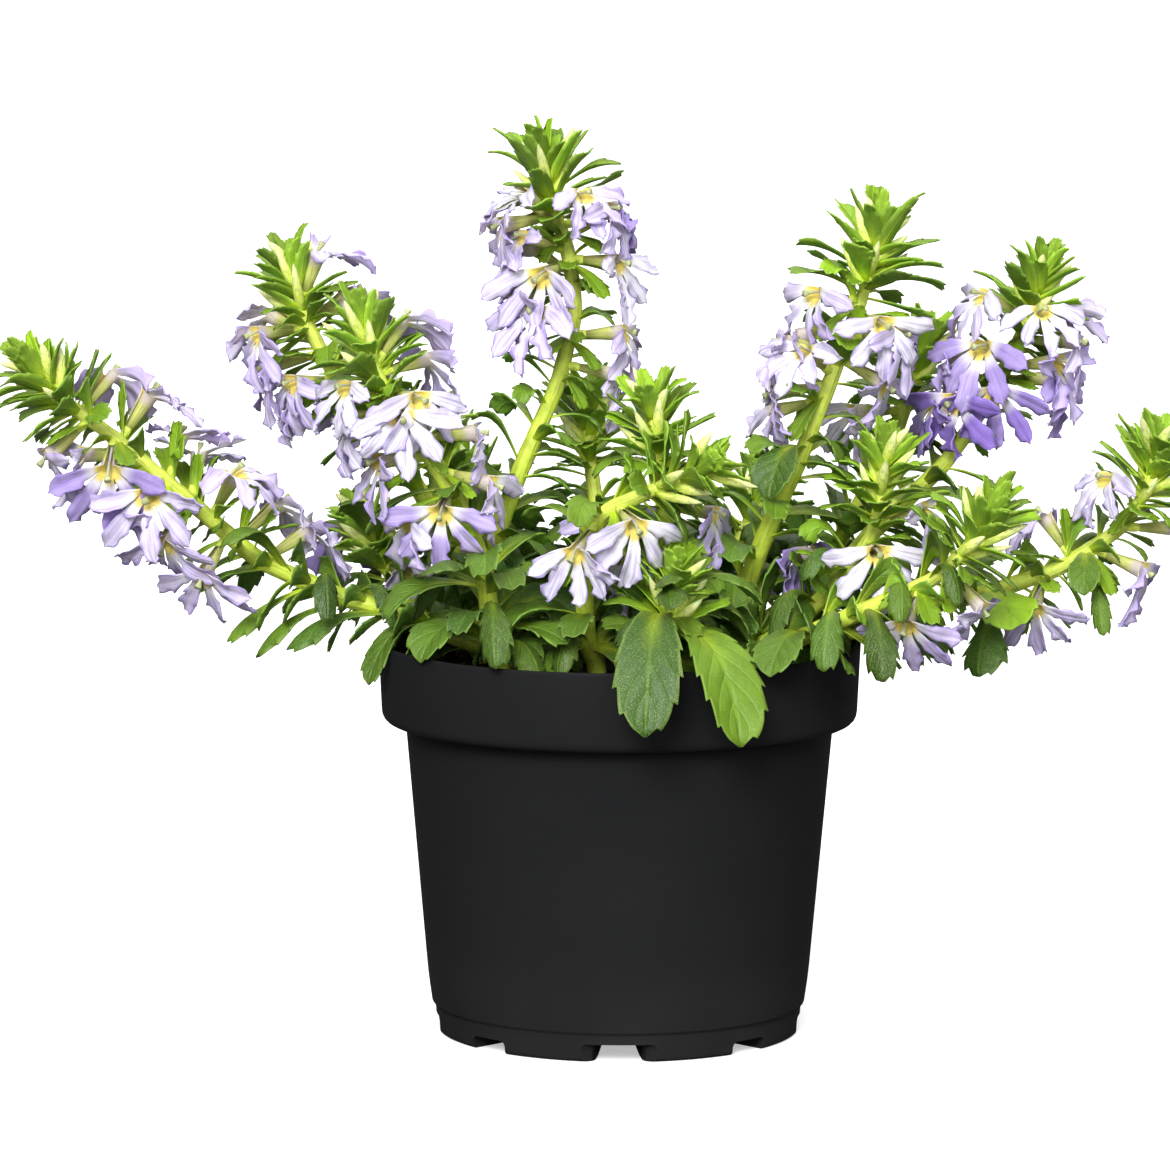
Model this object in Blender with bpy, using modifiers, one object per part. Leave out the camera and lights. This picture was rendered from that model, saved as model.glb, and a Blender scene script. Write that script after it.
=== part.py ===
"""A potted fan flower: leafy shoots with lavender fan blooms, in a black nursery pot.

The origin is on the bench under the middle of the pot, +Z is up and the front is at -Y.
Lengths in the tables are in millimetres and become metres where they meet Blender.
"""

import math
import random
from dataclasses import dataclass, replace

import bmesh
import bpy
from mathutils import Matrix, Vector
from mathutils.bvhtree import BVHTree

MM = 0.001
GAP = 0.3 * MM
UP = Vector((0.0, 0.0, 1.0))
BACK = Vector((0.0, 1.0, 0.0))

# Pot
POT_HEIGHT = 106.0 * MM
RIM_RADIUS = 65.0 * MM
BAND_HEIGHT = 21.5 * MM
BAND_TAPER = 1.0 * MM
BODY_TOP_RADIUS = 57.6 * MM
BODY_FOOT_RADIUS = 51.5 * MM
BODY_FOOT_Z = 15.0 * MM
FOOT_RADIUS = 49.5 * MM
SEAM_Z = 7.5 * MM
WALL = 1.5 * MM
FLOOR_TOP = 6.5 * MM
POT_STEPS = 32
CHANNEL_HEIGHT = 4.8 * MM
CHANNEL_PLAN = ((54.0, 11.5), (48.6, 11.5), (46.5, 7.0), (38.0, 5.4), (24.0, 4.4), (11.0, 3.6))
NOTCH_SIZE = Vector((24.0, 12.0, 3.6)) * MM
NOTCH_PLACE = 44.0 * MM
DRAIN_RADIUS = 4.0 * MM
DRAIN_PLACE = 33.0 * MM
DRAIN_SIDES = 12
FEET = 4
CUT_OVERRUN = 1.0 * MM
INNER_FLARE = 1.5 * MM
STEP_RISE = 1.6 * MM

# Soil
SOIL_TOP = 98.0 * MM
SOIL_RINGS = (0.0, 20.0, 42.0)
SOIL_RELIEF = 0.9 * MM
SOIL_EDGE = 0.6 * MM
SOIL_GAP = 1.4 * GAP

# Stems, each set in a hole in the soil
STEM_BASE_RADIUS = 2.0 * MM
STEM_TIP_RADIUS = 1.1 * MM
STEM_TAPER = 1.3
STEM_HOLE_DEPTH = 8.0 * MM
STEM_HOLE_RADIUS = STEM_BASE_RADIUS + 2.5 * GAP
STEM_HOLE_SIDES = 6

# Leaves and buds
BLADE = 0.6 * MM
TURN = 137.5
HEAD_STEP = 2.3
HEAD_RISE = (74.0, 12.0)
HEAD_LENGTH = (11.0, 1.0)
HEAD_WIDTH = (1.8, 0.1)
ROOT_OFFSET = 0.5 * MM
LEAF_RISE = 28.0
LEAF_FOLD = 0.22
BUD_LENGTH = 13.0 * MM
BUD_RADIUS = 1.5 * MM
BUD_STEP = (4.0, 2.0)
BUD_RISE = (62.0, 8.0)
BUD_TURN = 60.0

# A blade's outline: how far along it lies, and half its width as a share of the widest
LANCE = ((0.0, 0.4), (0.5, 1.0), (1.0, 0.14))
TOOTHED = ((0.0, 0.22), (0.35, 0.5), (0.56, 1.0), (0.64, 0.8), (0.8, 0.96), (1.0, 0.16))
SPOON = ((0.0, 0.22), (0.4, 0.62), (0.72, 1.0), (1.0, 0.2))

# Turns to one side and lifts, in degrees, tried in this order until a piece is clear
SHIFTS = (
    (0, 0), (13, 0), (-13, 0), (0, 12), (0, -12), (26, 0), (-26, 0),
    (13, 14), (-13, 14), (40, 0), (-40, 0), (26, 20), (-26, 20), (60, 8), (-60, 8),
)

# Blooms
OVARY_LENGTH = 3.6 * MM
OVARY_RADIUS = 1.2 * MM
OVARY_SIDES = 4
TUBE_LENGTH = 10.0 * MM
TUBE_RADII = (1.1 * MM, 2.3 * MM)
TUBE_OPENING = 150.0
LOBES = 5
LOBE_FAN = 0.72
LOBE_LENGTH = 16.0 * MM
LOBE_ROWS = ((0.6, 2.5), (1.0, 1.5))
LOBE_SPREAD = (0.9, 1.08)
LOBE_SWAY = 5.0
LOBE_FLARE = (0.35, 0.6)
LOBE_CURL = 1.1


@dataclass(frozen=True)
class Shoot:
    """One leafy shoot: its stem's points, then how many head leaves, buds and stem leaves it has."""

    points: tuple
    head: int = 5
    buds: int = 2
    leaves: int = 3
    leaf_length: float = 24.0
    first_turn: float = 0.0


SHOOTS = {
    "left_long": Shoot(
        ((-27, -6, 102), (-42, -7, 107), (-58, -6, 114), (-75, -5, 118), (-97, -6, 128),
         (-116, -9, 145), (-137, -11, 163), (-149, -12, 172), (-156, -13, 180)),
        leaves=7, leaf_length=17, first_turn=40,
    ),
    "left_twig": Shoot(
        ((-37, 9, 102), (-52, 13, 111), (-63, 16, 122), (-70, 18, 137)),
        buds=1, leaves=3, first_turn=160,
    ),
    "left_high": Shoot(
        ((-25, 17, 102), (-36, 17, 111), (-46, 18, 130), (-60, 22, 153), (-76, 25, 172),
         (-86, 26, 190), (-90, 27, 205)),
        leaves=4, first_turn=80,
    ),
    "left_front": Shoot(
        ((-31, -22, 102), (-34, -31, 112), (-36, -34, 130), (-44, -34, 149), (-54, -33, 165),
         (-64, -31, 179), (-68, -30, 194)),
        leaves=4, first_turn=210,
    ),
    "centre_tall": Shoot(
        ((-20, 3, 102), (-30, 7, 112), (-34, 8, 132), (-27, 9, 151), (-17, 11, 174), (-12, 12, 194),
         (-14, 12, 209), (-19, 12, 224), (-21, 12, 236)),
        head=7, leaves=6, leaf_length=18, first_turn=300,
    ),
    "centre_back": Shoot(
        ((-8, 20, 102), (-8, 26, 110), (-5, 30, 130), (-8, 33, 150), (-9, 34, 167)),
        buds=1, leaves=4, leaf_length=22, first_turn=120,
    ),
    "centre_upright": Shoot(
        ((5, -8, 102), (9, -14, 114), (12, -18, 138), (10, -20, 158), (8, -21, 172)),
        leaves=3, leaf_length=24, first_turn=20,
    ),
    "centre_front": Shoot(
        ((-6, -21, 102), (-9, -29, 110), (-10, -34, 130), (-5, -37, 145), (8, -40, 151), (23, -42, 158)),
        leaves=3, leaf_length=20, first_turn=250,
    ),
    "front_low": Shoot(
        ((8, -31, 102), (10, -38, 107), (12, -42, 118), (14, -45, 130)),
        head=5, buds=0, leaves=2, leaf_length=22, first_turn=180,
    ),
    "right_tall": Shoot(
        ((24, 2, 102), (30, 0, 108), (38, -4, 133), (48, -6, 156), (57, -3, 179), (65, 0, 200),
         (69, 2, 217)),
        head=7, leaves=5, leaf_length=22, first_turn=60,
    ),
    "right_high": Shoot(
        ((36, 13, 102), (50, 15, 110), (68, 17, 133), (88, 17, 152), (100, 17, 170), (110, 17, 190),
         (114, 17, 205)),
        leaves=4, leaf_length=20, first_turn=330,
    ),
    "right_long": Shoot(
        ((38, -2, 102), (56, -4, 107), (76, -6, 115), (98, -8, 120), (118, -9, 127), (134, -10, 138),
         (141, -11, 149), (143, -12, 160)),
        leaves=6, leaf_length=17, first_turn=140,
    ),
    "right_front": Shoot(
        ((29, -21, 102), (43, -31, 109), (63, -39, 119), (82, -43, 128), (92, -45, 138), (97, -46, 147)),
        leaves=3, leaf_length=20, first_turn=280,
    ),
    "right_short": Shoot(
        ((27, -9, 102), (40, -13, 107), (58, -17, 123), (68, -18, 138), (70, -18, 159)),
        leaves=3, leaf_length=22, first_turn=200,
    ),
    "right_twig": Shoot(
        ((30, 27, 102), (44, 31, 109), (60, 35, 128), (76, 38, 158), (83, 38, 184)),
        head=5, buds=1, leaves=3, first_turn=100,
    ),
    "back_left": Shoot(
        ((-18, 32, 102), (-28, 42, 110), (-38, 54, 128), (-44, 61, 146)),
        buds=2, leaves=3, leaf_length=22, first_turn=0,
    ),
    "back_right": Shoot(
        ((12, 34, 102), (20, 44, 110), (34, 54, 126), (40, 60, 144)),
        buds=2, leaves=3, leaf_length=22, first_turn=220,
    ),
}


@dataclass(frozen=True)
class LargeLeaf:
    """A named leaf that hangs over the rim or stands out of the plant, set by compass and lift."""

    shoot: str
    below_tip: float
    azimuth: float
    rise: float
    length: float
    half_width: float
    droop: float


LARGE_LEAVES = (
    LargeLeaf("front_low", 14, 262, 20, 57, 8.8, 4.2),
    LargeLeaf("front_low", 21, 300, 22, 56, 9.8, 3.8),
    LargeLeaf("left_long", 134, 215, 22, 34, 5.0, 3.4),
    LargeLeaf("left_front", 96, 200, 25, 30, 7.5, 2.6),
    LargeLeaf("right_front", 92, 318, 16, 40, 4.2, 2.6),
    LargeLeaf("right_short", 62, 330, 10, 30, 6.0, 3.8),
    LargeLeaf("right_front", 62, 235, 12, 32, 6.5, 1.6),
    LargeLeaf("right_long", 64, 280, 5, 27, 8.5, 1.2),
    LargeLeaf("left_long", 84, 195, -5, 23, 4.4, 0.6),
    LargeLeaf("right_long", 36, 265, 0, 20, 4.5, 2.4),
    LargeLeaf("right_tall", 62, 240, 10, 26, 6.5, 3.4),
    LargeLeaf("centre_front", 62, 195, 20, 30, 7.0, 1.8),
    LargeLeaf("back_left", 44, 130, 15, 34, 8.0, 2.8),
    LargeLeaf("back_right", 52, 60, 15, 34, 8.0, 2.8),
    LargeLeaf("right_twig", 100, 40, 15, 32, 7.5, 2.6),
    LargeLeaf("left_twig", 58, 165, 15, 30, 7.0, 2.4),
)


@dataclass(frozen=True)
class Bloom:
    """One bloom: its shoot, how far below the tip it stands, its compass direction and its lift."""

    shoot: str
    below_tip: float
    azimuth: float
    rise: float
    size: float = 1.0


BLOOMS = (
    Bloom("left_long", 17, 50, 40),
    Bloom("left_long", 20, 195, -40),
    Bloom("left_long", 38, 215, -40, 0.95),
    Bloom("left_long", 62, 330, 58),
    Bloom("left_long", 54, 235, -35),
    Bloom("left_twig", 9, 125, 15),
    Bloom("left_high", 18, 200, -5),
    Bloom("left_high", 17, 15, 35),
    Bloom("left_high", 34, 215, 0, 0.95),
    Bloom("left_front", 26, 190, -5),
    Bloom("left_front", 14, 25, 15),
    Bloom("left_front", 20, 345, 0),
    Bloom("left_front", 34, 325, 5),
    Bloom("left_front", 56, 205, -10),
    Bloom("centre_tall", 17, 190, -8),
    Bloom("centre_tall", 20, 340, 20),
    Bloom("centre_tall", 36, 205, -10),
    Bloom("centre_tall", 50, 345, 5),
    Bloom("centre_upright", 28, 345, -5, 0.9),
    Bloom("centre_front", 27, 290, -15),
    Bloom("right_tall", 26, 190, -15),
    Bloom("right_tall", 30, 335, 5),
    Bloom("right_tall", 20, 250, 10),
    Bloom("right_tall", 44, 185, -8, 0.95),
    Bloom("right_high", 14, 195, 28),
    Bloom("right_high", 20, 350, 0),
    Bloom("right_high", 36, 225, -5, 1.05),
    Bloom("right_high", 32, 285, -5),
    Bloom("right_short", 26, 280, 0),
    Bloom("right_short", 32, 205, 0),
    Bloom("right_front", 28, 245, -40, 0.95),
    Bloom("right_front", 20, 325, -45, 0.9),
    Bloom("right_long", 24, 0, 0, 0.95),
    Bloom("right_long", 40, 160, 55, 0.9),
    Bloom("right_long", 34, 340, -20),
    Bloom("left_high", 44, 100, 15),
    Bloom("back_left", 24, 130, 10),
    Bloom("centre_back", 34, 80, 5),
    Bloom("back_right", 26, 45, 10),
)


def compass(azimuth, rise):
    """The direction at this azimuth (0 is +X, 90 the back) and this many degrees above level."""
    turn, lift = math.radians(azimuth), math.radians(rise)
    return Vector((math.cos(lift) * math.cos(turn), math.cos(lift) * math.sin(turn), math.sin(lift)))


def material(name, colour, roughness):
    """A plain finish: none of the pieces is metal."""
    made = bpy.data.materials.new(name)
    made.use_nodes = True
    shader = made.node_tree.nodes["Principled BSDF"]
    shader.inputs["Base Color"].default_value = (*colour, 1.0)
    shader.inputs["Roughness"].default_value = roughness
    shader.inputs["Metallic"].default_value = 0.0
    return made


def add_object(name, mesh, collection):
    made = bpy.data.objects.new(name, mesh)
    collection.objects.link(made)
    return made


def mesh_of(name, shape):
    """A mesh from a bmesh, which is then freed."""
    mesh = bpy.data.meshes.new(name)
    shape.to_mesh(mesh)
    shape.free()
    return mesh


def evaluated_mesh(thing):
    graph = bpy.context.evaluated_depsgraph_get()
    return bpy.data.meshes.new_from_object(thing.evaluated_get(graph))


def combine(target, others, operation):
    """Applies one Boolean of all the other objects to the target, then removes them."""
    operands = bpy.data.collections.new("operands")
    bpy.context.scene.collection.children.link(operands)
    for other in others:
        operands.objects.link(other)
    boolean = target.modifiers.new("combine", "BOOLEAN")
    boolean.operation = operation
    boolean.operand_type = "COLLECTION"
    boolean.collection = operands
    boolean.solver = "EXACT"
    result = evaluated_mesh(target)
    target.modifiers.clear()
    target.data = result
    for other in others:
        bpy.data.objects.remove(other)
    bpy.data.collections.remove(operands)


def turned(name, profile, collection):
    """A solid turned about Z from a profile of (radius, height) that runs down its outer side."""
    mesh = bpy.data.meshes.new(name)
    edges = [(i, i + 1) for i in range(len(profile) - 1)]
    mesh.from_pydata([(radius, 0.0, height) for radius, height in profile], edges, [])
    made = add_object(name, mesh, collection)
    screw = made.modifiers.new("turn", "SCREW")
    screw.steps = POT_STEPS
    screw.render_steps = POT_STEPS
    screw.use_merge_vertices = True
    screw.merge_threshold = 0.00001
    made.data = evaluated_mesh(made)
    made.modifiers.clear()
    return made


def outer_wall():
    """The outer wall below the band, from the top of the body to the seam, as (radius, height)."""
    return [
        (BODY_TOP_RADIUS, POT_HEIGHT - BAND_HEIGHT - 0.8 * MM),
        (BODY_FOOT_RADIUS, BODY_FOOT_Z),
        (FOOT_RADIUS + 0.8 * MM, SEAM_Z + 0.3 * MM),
    ]


def inner_radii():
    """The inside radius under the band, at the top of the body, and at the floor."""
    band = RIM_RADIUS - BAND_TAPER - WALL
    return band, BODY_TOP_RADIUS - WALL, FOOT_RADIUS - WALL


def pot_profile():
    """The pot's half section: up its inside, over the rim, and down its outside to the foot."""
    band, body, floor = inner_radii()
    step = POT_HEIGHT - BAND_HEIGHT + WALL
    inside = [
        (0.0, FLOOR_TOP),
        (floor, FLOOR_TOP),
        (floor + INNER_FLARE, BODY_FOOT_Z),
        (body, step),
        (band, step + STEP_RISE),
    ]
    rim = [
        (RIM_RADIUS - WALL, POT_HEIGHT),
        (RIM_RADIUS - 0.3 * WALL, POT_HEIGHT),
        (RIM_RADIUS, POT_HEIGHT - 0.5 * MM),
    ]
    under_band = [
        (RIM_RADIUS - BAND_TAPER, POT_HEIGHT - BAND_HEIGHT + 2.6 * MM),
        (RIM_RADIUS - BAND_TAPER - 0.9 * MM, POT_HEIGHT - BAND_HEIGHT + 0.7 * MM),
        (RIM_RADIUS - BAND_TAPER - 3.0 * MM, POT_HEIGHT - BAND_HEIGHT),
    ]
    foot = [
        (FOOT_RADIUS, SEAM_Z),
        (FOOT_RADIUS - 0.4 * MM, 1.4 * MM),
        (FOOT_RADIUS - 1.6 * MM, 0.0),
        (0.0, 0.0),
    ]
    return inside + rim + under_band + outer_wall() + foot


def around(piece, count, start=0.0):
    """This many copies of the piece, turned about Z by equal steps; the first is the piece itself."""
    pieces = [piece]
    for _ in range(1, count):
        pieces.append(bpy.data.objects.new(piece.name, piece.data))
    for number, one in enumerate(pieces):
        one.matrix_world = Matrix.Rotation(start + math.tau * number / count, 4, "Z")
    return pieces


def channel_cutter():
    """A drain channel under the floor: it flares where it opens through the foot."""
    outline = list(CHANNEL_PLAN) + [(reach, -half) for reach, half in reversed(CHANNEL_PLAN)]
    shape = bmesh.new()
    corners = [shape.verts.new((reach * MM, half * MM, -CUT_OVERRUN)) for reach, half in outline]
    base = shape.faces.new(corners)
    lifted = bmesh.ops.extrude_face_region(shape, geom=[base])["geom"]
    tops = [item for item in lifted if isinstance(item, bmesh.types.BMVert)]
    bmesh.ops.translate(shape, verts=tops, vec=(0.0, 0.0, CHANNEL_HEIGHT + CUT_OVERRUN))
    bmesh.ops.recalc_face_normals(shape, faces=shape.faces)
    return bpy.data.objects.new("channel", mesh_of("channel", shape))


def notch_cutter():
    """A small notch across the foot ring."""
    shape = bmesh.new()
    bmesh.ops.create_cube(shape, size=1.0)
    bmesh.ops.scale(shape, verts=shape.verts, vec=NOTCH_SIZE)
    bmesh.ops.translate(shape, verts=shape.verts, vec=(NOTCH_PLACE, 0.0, 0.0))
    return bpy.data.objects.new("notch", mesh_of("notch", shape))


def rod_cutter(name, sides, radius, depth, middle):
    """An upright rod that cuts a hole, set by its middle."""
    shape = bmesh.new()
    bmesh.ops.create_cone(shape, cap_ends=True, segments=sides, radius1=radius, radius2=radius, depth=depth)
    bmesh.ops.translate(shape, verts=shape.verts, vec=middle)
    return bpy.data.objects.new(name, mesh_of(name, shape))


def make_pot(collection):
    """The pot, with its drain channels, the notches between them and its drain holes."""
    pot = turned("nursery_pot", pot_profile(), collection)
    drain = rod_cutter("drain", DRAIN_SIDES, DRAIN_RADIUS, 4.0 * FLOOR_TOP, (DRAIN_PLACE, 0.0, 0.0))
    between = 0.5 * math.tau / FEET
    cutters = around(channel_cutter(), FEET) + around(notch_cutter(), FEET, between) + around(drain, FEET)
    combine(pot, cutters, "DIFFERENCE")
    pot.data.shade_smooth()
    pot.data.set_sharp_from_angle(angle=math.radians(35.0))
    pot.data.materials.append(material("pot_plastic", (0.018, 0.019, 0.020), 0.5))
    return pot


def relief(place):
    """How far the soil's surface stands above or below its level here."""
    waves = (
        math.sin(place.x / (6.1 * MM)),
        math.cos(place.y / (5.3 * MM)),
        math.sin((place.x - place.y) / (9.7 * MM)),
    )
    return SOIL_RELIEF * sum(waves) / len(waves)


def make_soil(collection):
    """The filling, a little narrower than the pot's inside, with a hole for each stem."""
    band, body, floor = inner_radii()
    step = POT_HEIGHT - BAND_HEIGHT + WALL
    side = [
        (band + SOIL_EDGE - SOIL_GAP, SOIL_TOP - SOIL_EDGE),
        (band - SOIL_GAP, step + STEP_RISE + SOIL_GAP),
        (body - SOIL_GAP, step + SOIL_GAP),
        (floor + INNER_FLARE - SOIL_GAP, BODY_FOOT_Z),
        (floor - SOIL_GAP, FLOOR_TOP + GAP),
        (0.0, FLOOR_TOP + GAP),
    ]
    top = [(ring * MM, SOIL_TOP) for ring in SOIL_RINGS]
    soil = turned("potting_soil", top + side, collection)
    for vertex in soil.data.vertices:
        if vertex.co.z > SOIL_TOP - 0.1 * MM:
            vertex.co.z += relief(vertex.co)
    holes = []
    for shoot in SHOOTS.values():
        across, back, _ = shoot.points[0]
        middle = (across * MM, back * MM, SOIL_TOP)
        depth = 2.0 * STEM_HOLE_DEPTH
        holes.append(rod_cutter("stem_hole", STEM_HOLE_SIDES, STEM_HOLE_RADIUS, depth, middle))
    combine(soil, holes, "DIFFERENCE")
    soil.data.materials.append(material("peat", (0.045, 0.025, 0.016), 0.95))
    return soil


class Path:
    """A stem's line from node to node, read by its distance below the tip."""

    def __init__(self, shoot):
        nodes = [Vector(point) * MM for point in shoot.points]
        foot = Vector((nodes[0].x, nodes[0].y, SOIL_TOP - STEM_HOLE_DEPTH + GAP))
        self.places = [foot] + nodes
        self.reach = [0.0]
        for one, other in zip(self.places, self.places[1:]):
            self.reach.append(self.reach[-1] + (other - one).length)

    @property
    def length(self):
        return self.reach[-1]

    def place(self, below_tip):
        """The place and the direction towards the tip, this far below the tip."""
        along = min(max(self.length - below_tip, 0.0), self.length)
        for index in range(1, len(self.reach)):
            if self.reach[index] >= along:
                break
        one, other = self.places[index - 1], self.places[index]
        share = (along - self.reach[index - 1]) / (self.reach[index] - self.reach[index - 1])
        return one.lerp(other, share), (other - one).normalized()

    def radius(self, below_tip):
        """The stem's radius here: full at its foot and for the lowest part of its length."""
        share = min(1.0, STEM_TAPER * below_tip / self.length)
        return STEM_TIP_RADIUS + (STEM_BASE_RADIUS - STEM_TIP_RADIUS) * share


def make_stem(name, path):
    """The stem as a tapering curve with a round bevel, turned into a mesh with its caps welded."""
    curve = bpy.data.curves.new(name, "CURVE")
    curve.dimensions = "3D"
    curve.bevel_depth = MM
    curve.bevel_resolution = 1
    curve.use_fill_caps = True
    spline = curve.splines.new("POLY")
    spline.points.add(len(path.places) - 1)
    for point, place, reach in zip(spline.points, path.places, path.reach):
        point.co = (*place, 1.0)
        point.radius = path.radius(path.length - reach) / MM
    tube = add_object(name, curve, bpy.context.scene.collection)
    shape = bmesh.new()
    shape.from_mesh(evaluated_mesh(tube))
    bmesh.ops.remove_doubles(shape, verts=shape.verts, dist=0.01 * MM)
    bmesh.ops.recalc_face_normals(shape, faces=shape.faces)
    bpy.data.objects.remove(tube)
    bpy.data.curves.remove(curve)
    return shape


@dataclass(frozen=True)
class Blade:
    """A leaf: where it leaves the stem, its first direction, the side it faces and its size."""

    root: Vector
    heading: Vector
    face: Vector
    bend: Vector
    length: float
    half_width: float
    outline: tuple
    columns: int = 1


def blade_shape(blade, margin=0.0):
    """The leaf's closed blade; a margin swells it all round, to test that it is clear."""
    shape = bmesh.new()
    rows = blade.outline
    made = bmesh.ops.create_grid(shape, x_segments=blade.columns, y_segments=len(rows) - 1, size=1.0)
    width = blade.columns + 1
    for number, vertex in enumerate(made["verts"]):
        along, share = rows[number // width]
        across = 2.0 * (number % width) / blade.columns - 1.0
        place, heading = leaf_line(blade, along)
        normal = (blade.face - blade.face.dot(heading) * heading).normalized()
        side = heading.cross(normal)
        half = blade.half_width * share + margin
        thickness = 0.5 * BLADE + margin
        fold = LEAF_FOLD * blade.half_width * share * abs(across) if blade.columns > 1 else 0.0
        vertex.co = place + side * half * across + normal * (thickness + fold)
    bmesh.ops.triangulate(shape, faces=shape.faces)
    bmesh.ops.recalc_face_normals(shape, faces=shape.faces)
    if shape.faces[:][0].normal.dot(blade.face) < 0.0:
        bmesh.ops.reverse_faces(shape, faces=shape.faces)
    bmesh.ops.solidify(shape, geom=shape.faces[:], thickness=BLADE + 2.0 * margin)
    bmesh.ops.recalc_face_normals(shape, faces=shape.faces)
    return shape


def leaf_line(blade, along, steps=12):
    """The place and the heading this share of the way along the leaf's middle."""
    place = blade.root.copy()
    count = max(1, round(steps * along))
    for number in range(count):
        share = along * (number + 0.5) / count
        heading = (blade.heading + blade.bend * share * share).normalized()
        place = place + heading * blade.length * along / count
    return place, (blade.heading + blade.bend * along * along).normalized()


def bud_shape(root, heading, length, radius, margin=0.0):
    """A club-shaped bud: a small sphere drawn out along its heading, slimmer towards its root."""
    shape = bmesh.new()
    bmesh.ops.create_uvsphere(shape, u_segments=5, v_segments=3, radius=1.0)
    turn = heading.to_track_quat("Z", "Y").to_matrix()
    for vertex in shape.verts:
        share = 0.5 * (vertex.co.z + 1.0)
        girth = (radius + margin) * (0.55 + 0.55 * share)
        local = Vector((vertex.co.x * girth, vertex.co.y * girth, share * length))
        vertex.co = root + turn @ local
    return shape


def ovary_shape(root, heading):
    """The green ovary that stands on the stem and carries a bloom."""
    shape = bmesh.new()
    bmesh.ops.create_cone(
        shape,
        cap_ends=True,
        segments=OVARY_SIDES,
        radius1=0.8 * OVARY_RADIUS,
        radius2=OVARY_RADIUS,
        depth=OVARY_LENGTH,
    )
    bmesh.ops.translate(shape, verts=shape.verts, vec=(0.0, 0.0, 0.5 * OVARY_LENGTH))
    turn = heading.to_track_quat("Z", "Y").to_matrix().to_4x4()
    bmesh.ops.transform(shape, matrix=Matrix.Translation(root) @ turn, verts=shape.verts)
    return shape


def bloom_shape(root, heading, bloom, margin=0.0):
    """A corolla: a tube split along its upper side that opens into a fan of lobes, all one sheet."""
    draw = random.Random(f"{bloom.shoot}{bloom.below_tip}")
    up = (UP - UP.dot(heading) * heading).normalized()
    right = heading.cross(up)
    sheet = bmesh.new()
    made = bmesh.ops.create_grid(sheet, x_segments=LOBES, y_segments=1, size=1.0)
    width = LOBES + 1
    for number, vertex in enumerate(made["verts"]):
        end = number // width
        angle = math.radians(TUBE_OPENING * (2.0 * (number % width) / LOBES - 1.0))
        radial = right * math.sin(angle) - up * math.cos(angle)
        vertex.co = root + heading * end * TUBE_LENGTH * bloom.size + radial * TUBE_RADII[end] * bloom.size
    mouth = made["verts"][width:]
    for number in range(LOBES):
        edge = sheet.edges.get((mouth[number], mouth[number + 1]))
        middle = TUBE_OPENING * (2.0 * (number + 0.5) / LOBES - 1.0)
        angle = math.radians(LOBE_FAN * middle + draw.uniform(-LOBE_SWAY, LOBE_SWAY))
        radial = right * math.sin(angle) - up * math.cos(angle)
        across = right * math.cos(angle) + up * math.sin(angle)
        length = LOBE_LENGTH * bloom.size * draw.uniform(*LOBE_SPREAD)
        flare = draw.uniform(*LOBE_FLARE)
        centre = 0.5 * (edge.verts[0].co + edge.verts[1].co)
        before = 0.0
        for along, half in LOBE_ROWS:
            lift = flare - LOBE_CURL * along * along
            centre = centre + (radial + heading * lift).normalized() * length * (along - before)
            before = along
            grown = bmesh.ops.extrude_edge_only(sheet, edges=[edge])["geom"]
            edge = next(item for item in grown if isinstance(item, bmesh.types.BMEdge))
            ends = sorted(edge.verts, key=lambda vertex: vertex.co.dot(across))
            ends[0].co = centre - across * (half * MM * bloom.size + margin)
            ends[1].co = centre + across * (half * MM * bloom.size + margin)
    bmesh.ops.triangulate(sheet, faces=sheet.faces)
    bmesh.ops.recalc_face_normals(sheet, faces=sheet.faces)
    sheet.faces.ensure_lookup_table()
    floor = min(sheet.faces, key=lambda face: face.calc_center_median().dot(heading))
    if floor.normal.dot(floor.calc_center_median() - root) > 0.0:
        bmesh.ops.reverse_faces(sheet, faces=sheet.faces)
    bmesh.ops.solidify(sheet, geom=sheet.faces[:], thickness=BLADE + margin)
    bmesh.ops.recalc_face_normals(sheet, faces=sheet.faces)
    return sheet


def head_blades(shoot, path):
    """The leaves of the head: the upper ones nearly upright, the lower ones spreading."""
    for number in range(shoot.head):
        root, tip = path.place((1.0 + HEAD_STEP * number) * MM)
        rise = HEAD_RISE[0] - HEAD_RISE[1] * number
        length = (HEAD_LENGTH[0] + HEAD_LENGTH[1] * number) * MM
        half = (HEAD_WIDTH[0] + HEAD_WIDTH[1] * number) * MM
        turn = shoot.first_turn + TURN * number
        yield turn, rise, Blade(root, tip, tip, -0.5 * tip, length, half, LANCE)


def stem_blades(shoot, path):
    """The leaves down the stem, longer towards the soil and drooping under their weight."""
    first = HEAD_STEP * shoot.head + 9.0
    free = path.length / MM - STEM_HOLE_DEPTH / MM - first - 6.0
    for number in range(shoot.leaves):
        share = number / max(1, shoot.leaves - 1)
        root, tip = path.place((first + free * 0.85 * share) * MM)
        length = shoot.leaf_length * (0.75 + 0.4 * share) * MM
        turn = shoot.first_turn + TURN * (shoot.head + number)
        yield turn, LEAF_RISE, Blade(root, tip, tip, -0.9 * UP, length, 0.21 * length, SPOON)


def aimed(blade, turn, rise):
    """The blade headed this far round the stem and this far up from square to it."""
    tip = blade.face
    back = (BACK - BACK.dot(tip) * tip).normalized()
    out = back * math.cos(math.radians(turn)) + tip.cross(back) * math.sin(math.radians(turn))
    lift = math.radians(rise)
    heading = out * math.cos(lift) + tip * math.sin(lift)
    return replace(blade, root=blade.root + out * ROOT_OFFSET, heading=heading)


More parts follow.
